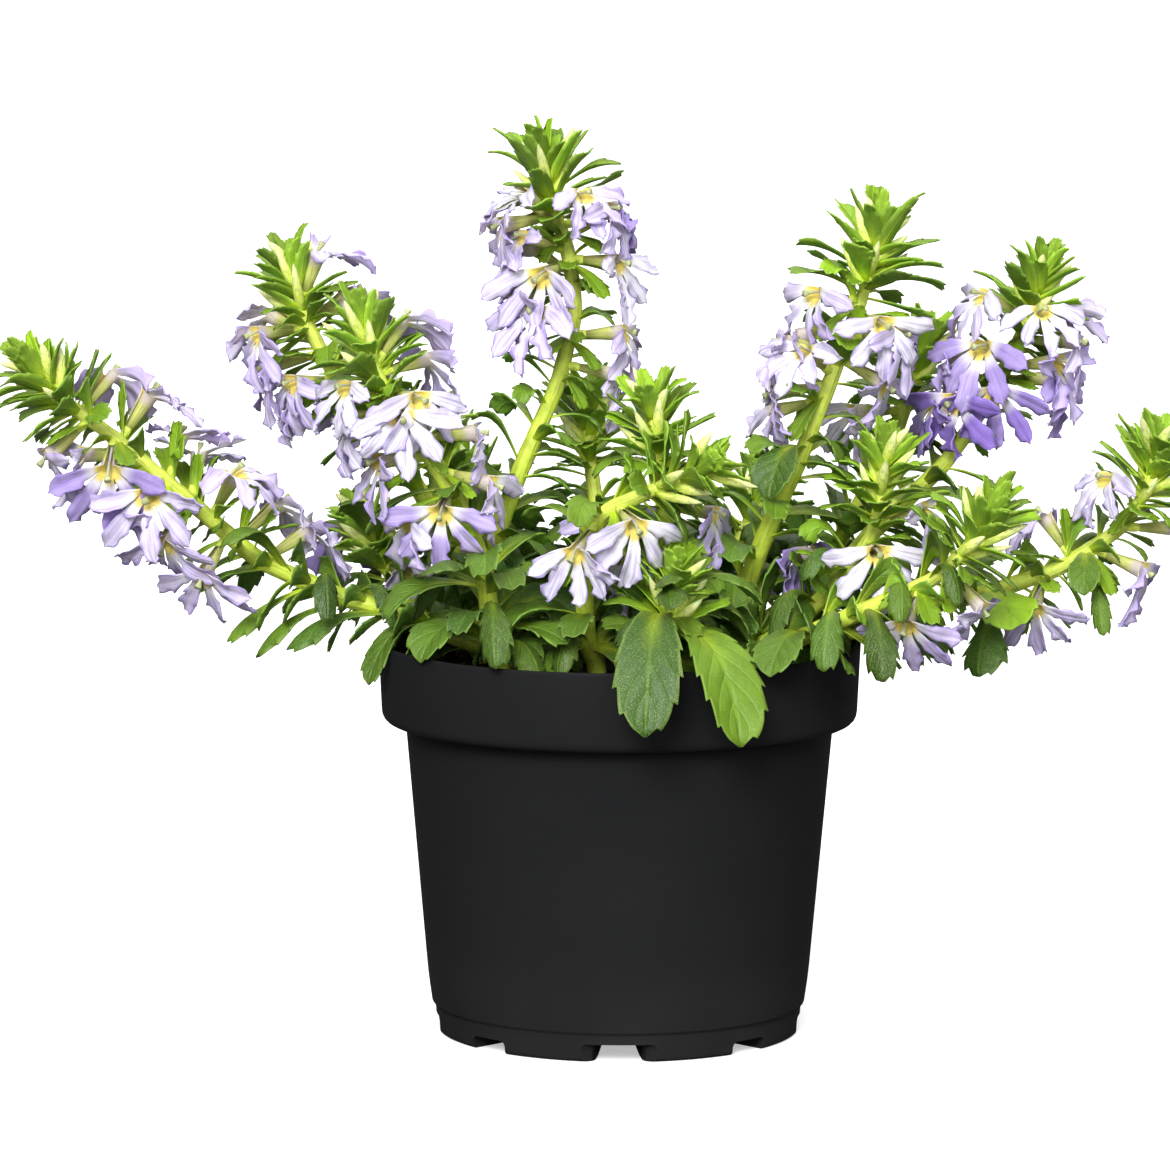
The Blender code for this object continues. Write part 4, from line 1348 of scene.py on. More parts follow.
@dataclass(frozen=True)
class Ovary:
    """The ribbed green ovary on the stem, which carries a bloom."""

    root: Array
    heading: Array
    length: float
    sides: int = 10

    def surface(self) -> Surface:
        """The ovary's rings.

        Returns:
            Its points and their marks.
        """
        along = np.array((0.0, 0.15, 0.35, 0.55, 0.75, 0.9, 1.0))
        radii = OVARY_RADIUS * np.array((0.7, 0.85, 1.02, 1.08, 1.02, 0.95, 0.9))
        grid = tube(self.root + self.heading * (along * self.length)[:, None], radii, self.sides)
        return grid, marks_of(0.6 + 0.3 * along, np.linspace(0.0, 1.0, self.sides), 0.6, 0.2)


@dataclass(frozen=True)
class Stem:
    """A stem along its path, a little thicker where leaves leave it."""

    path: Path
    joints: tuple[float, ...]
    sides: int = 12
    swelling: float = 0.14 * MM
    swelling_run: float = 1.8 * MM
    cap: float = 0.5 * MM

    def surface(self) -> Surface:
        """The stem's rings.

        Returns:
            Its points and their marks.
        """
        line = self.path.rounded()
        share = np.linspace(0.0, 1.0, len(line))
        below = self.path.length * (1.0 - share)
        radii = STOUT * np.array([self.path.radius(at) for at in below])
        for joint in self.joints:
            radii = radii + self.swelling * np.exp(-(((below - joint) / self.swelling_run) ** 2))
        radii[-1] *= 0.6
        line = np.vstack((line, line[-1] + unit(line[-1] - line[-2]) * self.cap))
        grid = tube(line, np.append(radii, 0.0), self.sides)
        return grid, marks_of(np.append(share, 1.0), np.linspace(0.0, 1.0, self.sides), 0.5, 0.35)


@dataclass(frozen=True)
class Corolla:
    """A bloom: a tube split along its upper side, which opens into a fan of five lobes."""

    bloom: Bloom
    root: Array
    heading: Array
    sag: float
    curl: float

    HALF_WIDTHS = ((0, 1.2), (0.12, 1.35), (0.3, 1.9), (0.55, 2.5), (0.78, 2.45), (0.92, 1.5), (1, 0.15))
    COLUMNS = (-1.0, -0.72, -0.4, -0.14, 0.14, 0.4, 0.72, 1.0)
    TUBE_ROWS = (-1.0, -0.5)
    LOBE_ROWS = (0.0, 0.07, 0.15, 0.24, 0.34, 0.44, 0.54, 0.64, 0.73, 0.81, 0.88, 0.935, 0.98, 1.0)

    def axes(self) -> tuple[Array, Array]:
        """The directions to the bloom's right and its upper side."""
        up = unit(UP - (UP @ self.heading) * self.heading)
        return np.cross(self.heading, up), up

    def ring(self, end: float, degrees: Array) -> Array:
        """Points round the tube.

        Args:
            end: how far along, 0 at its root and 1 at its mouth.
            degrees: the turns round it from its underside.

        Returns:
            The points.
        """
        right, up = self.axes()
        angle = np.radians(degrees)[:, None]
        radius = (TUBE_RADII[0] + (TUBE_RADII[1] - TUBE_RADII[0]) * end) * self.bloom.size
        along = self.heading * end * TUBE_LENGTH * self.bloom.size
        return self.root + along + (right * np.sin(angle) - up * np.cos(angle)) * radius

    def mouth(self) -> Array:
        """The six corners of the solid's mouth."""
        return self.ring(1.0, np.linspace(-TUBE_OPENING, TUBE_OPENING, LOBES + 1))

    def surfaces(self) -> Iterator[Surface]:
        """Each lobe with its strip of the tube.

        Returns:
            For each, its points with their marks.
        """
        draw = Random(f"{self.bloom.shoot}{self.bloom.below_tip}")
        own = Random(f"{self.bloom.shoot}{self.bloom.below_tip} lobes")
        across = np.array(self.COLUMNS)
        along = np.array(self.TUBE_ROWS + self.LOBE_ROWS)
        for number in range(LOBES):
            middle = TUBE_OPENING * (2.0 * (number + 0.5) / LOBES - 1.0)
            angle = math.radians(LOBE_FAN * middle + draw.uniform(-LOBE_SWAY, LOBE_SWAY))
            length = LOBE_LENGTH * self.bloom.size * draw.uniform(*LOBE_SPREAD) * LOBE_TRIM
            flare = draw.uniform(*LOBE_FLARE)
            corners = middle + TUBE_OPENING / LOBES * across
            strip = [self.ring(end + 1.0, corners) for end in self.TUBE_ROWS]
            lobe = self._lobe(self.ring(1.0, corners), angle, length, flare, own)
            grid = np.concatenate((np.array(strip), lobe))
            depth = min(1.0, max(0.0, self.bloom.depth + own.uniform(-0.05, 0.05)))
            yield grid, marks_of(along, np.abs(across), depth, own.random())

    def _lobe(self, mouth: Array, angle: float, length: float, flare: float, own: Random) -> Array:
        """Shapes one lobe.

        Args:
            mouth: the tube's points where it starts.
            angle: which way it heads, round from the underside.
            length: its length.
            flare: how far it leans forward where it starts.
            own: the draws of its small bends.

        Returns:
            The points by row and column, from the mouth's own points on.
        """
        right, up = self.axes()
        radial = right * math.sin(angle) - up * math.cos(angle)
        aside = right * math.cos(angle) + up * math.sin(angle)
        rows, across = np.array(self.LOBE_ROWS), np.array(self.COLUMNS)
        fine = np.linspace(0.0, 1.0, 33)
        middles = 0.5 * (fine[:-1] + fine[1:])
        hang = -UP * (self.sag + own.uniform(-0.2, 0.3))

        def headings(at: Array) -> Array:
            """The lobe's directions at these shares along it."""
            forward = self.heading * (flare + 0.026 - self.curl * at)[:, None]
            return unit(radial + forward + hang * at[:, None])

        reached = np.vstack((np.zeros(3), np.cumsum(headings(middles), axis=0))) * length / len(middles)
        line = mouth.mean(axis=0) + between(rows, fine, reached)
        ahead = headings(rows)
        aside = unit(aside - (ahead @ aside)[:, None] * ahead)
        twist = math.radians(own.uniform(-55.0, 55.0)) * rows[:, None] ** 1.5
        normal = np.cross(aside, ahead)
        side = aside * np.cos(twist) + normal * np.sin(twist)
        normal = np.cross(side, ahead)
        half = (np.maximum(through(self.HALF_WIDTHS, rows), 0.12) * MM * self.bloom.size)[:, None]
        out = np.abs(across)[None, :]
        wings = ease(0.12, 0.5, rows)[:, None]
        beat, start = own.uniform(2.2, 3.4), own.random()
        ruffle = np.sin(math.tau * (beat * rows[:, None] + start) + np.where(across > 0, 2.2, 0.0))
        ruffle = ruffle + 0.5 * np.sin(math.tau * (2.3 * beat * rows[:, None] + own.random()) + across)
        half = half * (1.0 + 0.14 * wings * ruffle * out**3)
        lift = wings * (0.5 * own.uniform(-1.0, 1.7) * half * out**2 + 0.65 * MM * ruffle * out**2)
        lift = lift - wings * 0.25 * MM * np.exp(-((out / 0.2) ** 2))
        lift = lift + wings * 0.2 * MM * np.exp(-(((out - 0.4) / 0.16) ** 2))
        curl = own.uniform(-0.4, 0.6) * length * rows[:, None] ** 3
        lift = lift - 0.22 * curl
        tip = -0.9 * MM * out**2 * ease(0.9, 1.0, rows)[:, None]
        grid = (
            line[:, None]
            + side[:, None] * (half * across)[..., None]
            + normal[:, None] * lift[..., None]
            + ahead[:, None] * tip[..., None]
        )
        blend = ease(0.0, 0.16, rows)[:, None, None]
        start = mouth[None] + (line - line[0])[:, None]
        return start * (1.0 - blend) + grid * blend

    def style(self) -> Surface:
        """The style, which curves up out of the split and ends in a small cup.

        Returns:
            Its points and their marks.
        """
        _, up = self.axes()
        size = self.bloom.size
        along = np.array((0.0, 0.2, 0.4, 0.6, 0.78, 0.88, 0.93, 0.97, 1.0, 0.97))
        radii = np.array((0.45, 0.4, 0.36, 0.36, 0.4, 0.6, 0.9, 1.0, 0.85, 0.0)) * MM * size
        line = self.root + self.heading * (along * STYLE_REACH * size)[:, None]
        line = line + up * (1.9 * MM * size * along**1.5 - 2.6 * MM * size * ease(0.55, 1.1, along))[:, None]
        return tube(line, radii, STYLE_SIDES), marks_of(along, np.linspace(0.0, 1.0, STYLE_SIDES), 0.5, 0.3)


class Solid:
    """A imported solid, asked how far its surface lies from given points."""

    def __init__(self, node: str) -> None:
        """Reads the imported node's mesh."""
        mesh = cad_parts[node].data
        corners = [vertex.co.copy() for vertex in mesh.vertices]
        self.tree = BVHTree.FromPolygons(corners, [tuple(face.vertices) for face in mesh.polygons])

    def farthest(self, places: Array) -> float:
        """The largest distance from these places to the surface."""
        return max(self.tree.find_nearest(Vector(place))[3] for place in places)

    def shift(self, places_of: Callable[[float, float], Array], limit: float) -> Shift | None:
        """Finds how a piece was turned to stand clear.

        Args:
            places_of: gives the piece's places for a turn and a lift.
            limit: how near the surface they all have to lie.

        Returns:
            The first turn and lift that put them there, or None.
        """
        for turn, lift in SHIFTS:
            if self.farthest(places_of(turn, lift)) < limit:
                return turn, lift
        return None


class Thicket:
    """What is already in place, asked whether a new surface would cut through it."""

    def __init__(self) -> None:
        """Starts with the limits that the whole object keeps to."""
        low, high = (np.array(corner) for corner in CAD_BOX)
        room = ROOM_SHARE * (high - low) + ROOM
        self.low, self.high = low - room, high + room
        self.lows: list[Array] = []
        self.highs: list[Array] = []
        self.trees: list[BVHTree] = []

    @staticmethod
    def _tree(grid: Array, ring: bool) -> BVHTree:
        """A search tree of a grid's faces."""
        return BVHTree.FromPolygons(grid.reshape(-1, 3).tolist(), quads(*grid.shape[:2], ring).tolist())

    def take(self, grid: Array, ring: bool = False) -> None:
        """Counts this surface as in place."""
        self._keep(grid.reshape(-1, 3), self._tree(grid, ring))

    def take_solid(self, node: str) -> None:
        """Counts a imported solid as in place."""
        places = np.array([tuple(vertex.co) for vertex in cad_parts[node].data.vertices])
        self._keep(places, Solid(node).tree)

    def _keep(self, places: Array, tree: BVHTree) -> None:
        """Keeps a surface's box and search tree."""
        self.lows.append(places.min(axis=0))
        self.highs.append(places.max(axis=0))
        self.trees.append(tree)

    def fits(self, grid: Array) -> bool:
        """Whether the surface keeps inside the limits and clear of the soil."""
        low, high = grid.min(axis=(0, 1)), grid.max(axis=(0, 1))
        return bool(np.all(low >= self.low) and np.all(high <= self.high) and low[2] > SOIL_TOP + SOIL_GAP)

    def near(self, grid: Array) -> Array:
        """The numbers of the surfaces in place whose boxes meet this one's."""
        low, high = grid.min(axis=(0, 1)), grid.max(axis=(0, 1))
        return np.flatnonzero(np.all((np.array(self.lows) <= high) & (np.array(self.highs) >= low), axis=1))

    def cuts(self, grid: Array) -> int:
        """How many faces of the surface cut through what is in place."""
        tree = self._tree(grid, False)
        return sum(len(tree.overlap(self.trees[index])) for index in self.near(grid))


@dataclass
class Growth:
    """One shoot as it is shown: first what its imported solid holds, in its own place, then more between."""

    name: str
    shoot: Shoot
    thicket: Thicket
    corollas: dict[str, Corolla]
    unmatched: list[str]
    # How near its solid a leaf or another piece lies, and how many turns of a leaf without one are tried
    leaf_match: float = 0.45 * MM
    match: float = 0.2 * MM
    turns_tried: int = 7
    # The share of a leaf, from its root, that may cut through what is in place
    rooting: float = 0.2
    # How many finer pieces there are, where they stand, how many ways each is tried and how many pairs
    # of faces may touch
    bloom_tries: int = 12
    bloom_cuts: int = 60
    deep_share: float = 0.15
    closed_leaves: int = 8
    small_buds: int = 9
    bud_cuts: int = 6
    head_leaves: int = 28
    tries: int = 9
    few_tries: int = 6
    head_cuts: int = 7
    fill_step: float = 3.4
    fill_cuts: int = 8
    hanging_cuts: int = 10
    low_height: float = 128.0 * MM
    low_leaves: int = 8
    low_tries: int = 10
    # Leaves' half widths as shares of their length, and how much wider than a solid's one is shown
    spoon_half: float = 0.21
    bract_half: float = 0.18
    head_spoon_half: float = 0.23
    low_half: float = 0.135
    head_stout: float = 1.45
    leaves: list[Leaf] = field(default_factory=list)
    buds: list[Bud] = field(default_factory=list)
    ovaries: list[Ovary] = field(default_factory=list)
    joints: list[float] = field(default_factory=list)
    blooms: list[Bloom] = field(default_factory=list)

    def __post_init__(self) -> None:
        """Finds the stem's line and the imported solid."""
        self.path = Path(self.shoot)
        self.solid = Solid(f"shoot_{self.name}")

    def _corolla(self, bloom: Bloom, turn: float = 0.0, lift: float = 0.0) -> Corolla:
        """The corolla of a bloom.

        Args:
            bloom: the bloom.
            turn: how much further round it faces.
            lift: how much further up.

        Returns:
            The corolla, on its ovary's end.
        """
        stalk, _ = self.path.place(bloom.below_tip * MM)
        reach = self.path.radius(bloom.below_tip * MM) + OVARY_LENGTH - OVARY_SINK
        heading = compass(bloom.azimuth + turn, bloom.rise + lift)
        own = Random(f"sag {bloom.shoot} {bloom.below_tip}")
        sag = own.uniform(-0.25, 0.6)
        curl = own.uniform(1.0, 1.3) if bloom in BLOOMS else own.uniform(0.2, 1.0)
        return Corolla(bloom, stalk + heading * (reach + GAP), heading, sag, curl)

    def _add_bloom(self, corolla: Corolla) -> None:
        """Adds a bloom with its ovary.

        Args:
            corolla: the bloom's corolla.
        """
        self.blooms.append(corolla.bloom)
        self.corollas[f"{self.name}_{len(self.blooms)}"] = corolla
        self.joints.append(corolla.bloom.below_tip * MM)
        foot = corolla.root - corolla.heading * (OVARY_LENGTH + GAP)
        self.ovaries.append(Ovary(foot, corolla.heading, OVARY_LENGTH + 2.0 * GAP))
        for grid, _ in corolla.surfaces():
            self.thicket.take(grid)

    def solid_bloom(self, bloom: Bloom) -> None:
        """Adds a bloom as its solid has it.

        Args:
            bloom: the bloom.
        """
        node = f"bloom_{self.name}_{len(self.blooms) + 1}"
        shift = Solid(node).shift(lambda turn, lift: self._corolla(bloom, turn, lift).mouth(), self.match)
        if shift is None:
            self.unmatched.append(node)
        self._add_bloom(self._corolla(bloom, *(shift or (0, 0))))

    def more_blooms(self) -> None:
        """Adds blooms between those that the solids have, each turned to where it cuts through least."""
        draw = Random(f"blooms {self.name}")
        for below, azimuth, rise, *deeper in MORE_BLOOMS.get(self.name, ()):
            best, fewest = None, self.bloom_cuts
            size, depth = draw.uniform(0.86, 1.06), draw.uniform(0.0, 0.5) + sum(deeper)
            if draw.random() < self.deep_share:
                depth += 0.4
            for number in range(self.bloom_tries):
                sway = 3.0 * number
                turn, lift = draw.uniform(-sway, sway), draw.uniform(-sway, sway)
                corolla = self._corolla(Bloom(self.name, below, azimuth, rise, size, depth), turn, lift)
                grids = [grid for grid, _ in corolla.surfaces()]
                if not all(self.thicket.fits(grid) for grid in grids):
                    continue
                found = sum(self.thicket.cuts(grid) for grid in grids)
                if found < fewest:
                    best, fewest = corolla, found
            if best is not None:
                self._add_bloom(best)

    def more_leaves(self) -> None:
        """Adds the finer hanging leaves."""
        draw = Random(f"hanging {self.name}")
        for below, azimuth, rise, length, half, droop in MORE_LEAVES.get(self.name, ()):
            root, _ = self.path.place(below * MM)
            choices = []
            for number in range(self.bloom_tries):
                turn, lift = draw.uniform(-3.0, 3.0) * number, draw.uniform(-3.0, 3.0) * number
                heading = compass(azimuth + turn, rise + lift)
                blade = Blade(root, heading, UP, -droop * UP, length * MM, half * MM, LeafKind.BROAD)
                twist = math.radians(draw.uniform(-40.0, 40.0))
                tone, age = draw.uniform(0.2, 0.8), draw.uniform(0.5, 0.95)
                choices.append(Leaf(blade, tone, age, twist, draw.random()))
            self._offer(choices, self.hanging_cuts)

    def _settle(self, name: str, leaf_of: Callable[[float, float], Leaf]) -> None:
        """Adds a leaf where its solid has it, or else where it is clear.

        Args:
            name: what the log calls it.
            leaf_of: gives the leaf for a turn and a lift.
        """
        rows = np.array(LEAF_FORMS[leaf_of(0, 0).blade.kind].solid_rows)
        shift = self.solid.shift(lambda turn, lift: leaf_of(turn, lift).blade.line(rows)[0], self.leaf_match)
        if shift is None:
            self.unmatched.append(name)
            self._offer([leaf_of(turn, lift) for turn, lift in SHIFTS[: self.turns_tried]])
            return
        leaf = leaf_of(*shift)
        self.leaves.append(leaf)
        self.thicket.take(leaf.surface()[0])

    def _offer(self, choices: list[Leaf], graze: int = 0) -> None:
        """Adds the first of these leaves that has room, beyond the part near its root.

        Args:
            choices: the leaves to try, the best first.
            graze: how many pairs of faces may touch.
        """
        for leaf in choices:
            start = int(np.searchsorted(LEAF_FORMS[leaf.blade.kind].stations(), self.rooting))
            grid = leaf.surface()[0][start:]
            if self.thicket.fits(grid) and self.thicket.cuts(grid) <= graze:
                self.leaves.append(leaf)
                self.thicket.take(grid)
                return

    def large_leaf(self, number: int, large: LargeLeaf) -> None:
        """Adds a large leaf as its solid has it.

        Args:
            number: its place in the list.
            large: the leaf.
        """
        root, _ = self.path.place(large.below_tip * MM)
        draw = Random(f"large {number}")
        tone, age = draw.uniform(0.3, 0.7), large.age + draw.uniform(-0.08, 0.08)
        twist, phase = math.radians(draw.uniform(-10.0, 10.0)), draw.random()
        bend = -large.droop * UP

        def leaf_at(turn: float, lift: float) -> Leaf:
            """The leaf with this much more turn and lift."""
            heading = compass(large.azimuth + turn, large.rise + lift)
            length, half = large.length * MM, large.half_width * MM
            blade = Blade(root, heading, UP, bend, length, half, LeafKind.TOOTHED)
            return Leaf(blade, tone, age, twist, phase)

        self._settle(f"large leaf {number}", leaf_at)

    def solid_leaves(self) -> None:
        """Adds the leaves of the head and those down the stem, as the solids have them."""
        shoot, path = self.shoot, self.path
        draw = Random(f"leaves {self.name}")
        for number in range(shoot.head):
            below = (1.0 + HEAD_STEP * number) * MM
            root, tip = path.place(below)
            length = (HEAD_LENGTH[0] + HEAD_LENGTH[1] * number) * MM
            half = self.head_stout * (HEAD_WIDTH[0] + HEAD_WIDTH[1] * number) * MM
            blade = Blade(root, tip, tip, -0.5 * tip, length, half, LeafKind.LANCE)
            turn, rise = shoot.first_turn + TURN * number, HEAD_RISE[0] - HEAD_RISE[1] * number
            name, age = f"{self.name} head {number}", 0.06 + 0.05 * number
            self._along_stem(name, blade, turn, rise, age, draw)
        first = HEAD_STEP * shoot.head + 9.0
        free = path.length / MM - STEM_HOLE_DEPTH / MM - first - 6.0
        for number in range(shoot.leaves):
            share = number / max(1, shoot.leaves - 1)
            below = (first + free * 0.85 * share) * MM
            root, tip = path.place(below)
            length = shoot.leaf_length * (0.75 + 0.4 * share) * MM
            blade = Blade(root, tip, tip, -0.9 * UP, length, self.spoon_half * length, LeafKind.SPOON)
            turn = shoot.first_turn + TURN * (shoot.head + number)
            self.joints.append(below)
            name, age = f"{self.name} leaf {number}", 0.4 + 0.4 * share
            self._along_stem(name, blade, turn, LEAF_RISE, age, draw)

    def _along_stem(
        self,
        name: str,
        blade: Blade,
        turn: float,
        rise: float,
        age: float,
        draw: Random,
    ) -> None:
        """Settles one leaf of the head or the stem.

        Args:
            name: what the log calls it.
            blade: its blade.
            turn: how far round the stem it heads.
            rise: how far up from square to it.
            age: how old it looks.
            draw: the shoot's random draws.
        """
        tone, twist = draw.uniform(0.3, 0.7), math.radians(draw.uniform(-9.0, 9.0))
        phase = draw.random()

        def leaf_at(more: float, lift: float) -> Leaf:
            """The leaf with this much more turn and lift."""
            return Leaf(aimed(blade, turn + more, rise + lift), tone, age, twist, phase)

        self._settle(name, leaf_at)

    def solid_buds(self) -> None:
        """Adds the buds that the solids have."""
        shoot = self.shoot
        for number in range(shoot.buds):
            root, tip = self.path.place((BUD_STEP[0] + BUD_STEP[1] * number) * MM)
            blade = Blade(root, tip, tip, tip, BUD_LENGTH, BUD_RADIUS, LeafKind.LANCE)
            turn = shoot.first_turn + BUD_TURN + TURN * number
            rise = BUD_RISE[0] - BUD_RISE[1] * number

            def heading_at(more: float, lift: float) -> Array:
                """The bud's heading with this much more turn and lift."""
                return aimed(blade, turn + more, rise + lift).heading

            def tip_at(more: float, lift: float) -> Array:
                """The bud's tip with this much more turn and lift."""
                return (root + heading_at(more, lift) * BUD_LENGTH)[None]

            shift = self.solid.shift(tip_at, self.match)
            if shift is None:
                self.unmatched.append(f"{self.name} bud {number}")
                continue
            bud = Bud(root, heading_at(*shift), BUD_LENGTH, BUD_RADIUS, 0.35 + 0.3 * number)
            self.buds.append(bud)
            self.thicket.take(bud.surface()[0], ring=True)

    def bracts(self) -> None:
        """Adds a leaf to each side of each bloom's foot."""
        draw = Random(f"bracts {self.name}")
        for bloom in self.blooms:
            for side in (-1.0, 1.0):
                root, _ = self.path.place((bloom.below_tip + 1.2) * MM)
                length = draw.uniform(13.0, 19.0) * MM
                half = self.bract_half * length
                choices = []
                for _ in range(self.few_tries):
                    azimuth = bloom.azimuth + side * draw.uniform(14, 46)
                    heading = compass(azimuth, bloom.rise + draw.uniform(-38, 34))
                    bend = -draw.uniform(0.2, 0.9) * UP
                    blade = Blade(root, heading, UP, bend, length, half, LeafKind.SPOON)
                    tone, age = draw.uniform(0.3, 0.7), draw.uniform(0.15, 0.4)
                    choices.append(Leaf(blade, tone, age, phase=draw.random()))
                self._offer(choices)

    def head(self) -> None:
        """Adds closed young leaves at the tip, small buds, and more head leaves between the solids' ones."""
        shoot, path = self.shoot, self.path
        draw = Random(f"head {self.name}")
        for number in range(self.closed_leaves):
            root, tip = path.place((0.1 + 0.5 * number) * MM)
            length, half = (4.2 + 1.1 * number) * MM, (0.9 + 0.16 * number) * MM
            blade = Blade(root, tip, tip, -0.2 * tip, length, half, LeafKind.LANCE)
            turn = shoot.first_turn + 30.0 + TURN * number
            self._try_turned(blade, turn, 84.0 - 4.0 * number, 0.0, draw)
        for number in range(self.small_buds):
            self._try_bud(3.5 + 1.7 * number, shoot.first_turn + 20.0 + TURN * number, draw)
        for number in range(self.head_leaves):
            root, tip = path.place((1.0 + 0.66 * number) * MM)
            size = min(number, 12)
            length = (12.5 + 0.4 * size + draw.uniform(-1.5, 2.0)) * (0.6 + 0.08 * shoot.head) * MM
            kind = LeafKind.SPOON if draw.random() < 0.04 * number else LeafKind.LANCE
            half = (2.15 + 0.05 * size) * MM if kind is LeafKind.LANCE else self.head_spoon_half * length
            bend = -draw.uniform(-0.1, 0.7) * tip - draw.uniform(0.0, 0.4) * UP
            blade = Blade(root, tip, tip, bend, length, half, kind)
            turn = shoot.first_turn + 0.5 * TURN + TURN * number + draw.uniform(-20.0, 20.0)
            rise = max(12.0, 72.0 - 2.2 * number) + draw.uniform(-10.0, 10.0)
            age = 0.04 + 0.015 * number
            self._try_turned(blade, turn, rise, age, draw, self.tries, self.head_cuts)

    def _try_turned(
        self,
        blade: Blade,
        turn: float,
        rise: float,
        age: float,
        draw: Random,
        tries: int = 6,
        graze: int = 0,
    ) -> None:
        """Tries a leaf round the stem at its own turn, then at others near it.

        Args:
            blade: its blade.
            turn: how far round the stem it heads.
            rise: how far up from square to it.
            age: how old it looks.
            draw: the shoot's random draws.
            tries: how many places it is tried at.
            graze: how many pairs of faces may touch.
        """
        choices = []
        for number in range(tries):
            more = draw.uniform(-9.0, 9.0) * (1 + number)
            lift = draw.uniform(-5.0, 5.0) * (1 + 0.6 * number)
            shorter = replace(blade, length=blade.length * (1.0 - 0.05 * number))
            tone, own_age = draw.uniform(0.15, 0.85), age + draw.uniform(-0.08, 0.2)
            twist, phase = math.radians(draw.uniform(-12.0, 12.0)), draw.random()
            blade_here = aimed(shorter, turn + more, rise + lift)
            choices.append(Leaf(blade_here, tone, min(1.0, max(0.0, own_age)), twist, phase))
        self._offer(choices, graze)

    def _try_bud(self, below: float, turn: float, draw: Random) -> None:
        """Tries a small bud.

        Args:
            below: how far below the tip it stands.
            turn: how far round the stem it heads.
            draw: the shoot's random draws.
        """
        root, tip = self.path.place(below * MM)
        length, radius = draw.uniform(12.5, 17.5) * MM, draw.uniform(1.2, 1.6) * MM
        for _ in range(self.few_tries):
            blade = Blade(root, tip, tip, tip, length, radius, LeafKind.LANCE)
            heading = aimed(blade, turn + draw.uniform(-40.0, 40.0), draw.uniform(48.0, 68.0)).heading
            bud = Bud(root, heading, length, radius, draw.uniform(0.1, 0.9), draw.uniform(-0.05, 0.06))
            grid = bud.surface()[0]
            if self.thicket.fits(grid) and self.thicket.cuts(grid[3:]) <= self.bud_cuts:
                self.buds.append(bud)
                self.thicket.take(grid[3:], ring=True)
                return

    def fill(self) -> None:
        """Adds leaves down the whole stem, and dark toothed ones low in the plant: old, and with painted
        shade in their tone.
        """
        shoot, path = self.shoot, self.path
        draw = Random(f"fill {self.name}")
        first = HEAD_STEP * shoot.head + 6.0
        last = path.length / MM - STEM_HOLE_DEPTH / MM - 5.0
        count = max(2, round((last - first) / self.fill_step))
        for number in range(count):
            share = number / (count - 1)
            below = (first + (last - first) * share) * MM
            root, tip = path.place(below)
            length = shoot.leaf_length * draw.uniform(0.8, 1.25) * (0.8 + 0.4 * share) * MM
            bend = -draw.uniform(0.8, 2.2) * UP
            blade = Blade(root, tip, tip, bend, length, self.spoon_half * length, LeafKind.SPOON)
            turn, rise = shoot.first_turn + 70.0 + TURN * number, draw.uniform(22.0, 50.0)
            age = 0.3 + 0.6 * share
            self._try_turned(blade, turn, rise, age, draw, self.tries, self.fill_cuts)
            self.joints.append(below)
        steps = np.arange(5.0, path.length / MM, 3.0)
        low = [below for below in steps if path.place(below * MM)[0][2] < self.low_height]
        for below in low[:: max(1, len(low) // self.low_leaves)]:
            root, _ = path.place(below * MM)
            length = draw.uniform(24.0, 36.0) * MM
            choices = []
            for _ in range(self.low_tries):
                heading = compass(draw.uniform(0.0, 360.0), draw.uniform(5.0, 50.0))
                bend = -draw.uniform(0.8, 4.0) * UP
                blade = Blade(root, heading, UP, bend, length, self.low_half * length, LeafKind.BROAD)
                # Old leaves, drawn darker in tone as painted shade low under the plant
                tone, age, twist = draw.uniform(0.0, 0.6), draw.uniform(0.65, 1.0), draw.uniform(-0.7, 0.7)
                choices.append(Leaf(blade, tone, age, twist, draw.random()))
            self._offer(choices)

    def build(self, palette: Palette) -> None:
        """Shows the shoot as its leaves, its stem and its buds.

        Args:
            palette: the finishes.
        """
        node = f"shoot_{self.name}"
        blades = joined(f"leaves_{self.name}", (leaf.surface() for leaf in self.leaves))
        show(f"leaves_{self.name}", thickened(blades, LEAF_THICKNESS, palette.leaf), palette.leaf, (node,))
        rods = [Stem(self.path, tuple(self.joints)).surface(), *(ovary.surface() for ovary in self.ovaries)]
        show(f"stem_{self.name}", joined(f"stem_{self.name}", rods, ring=True), palette.stem, (node,))
        if self.buds:
            clubs = joined(f"buds_{self.name}", (bud.surface() for bud in self.buds), ring=True)
            show(f"buds_{self.name}", clubs, palette.bud, (node,))


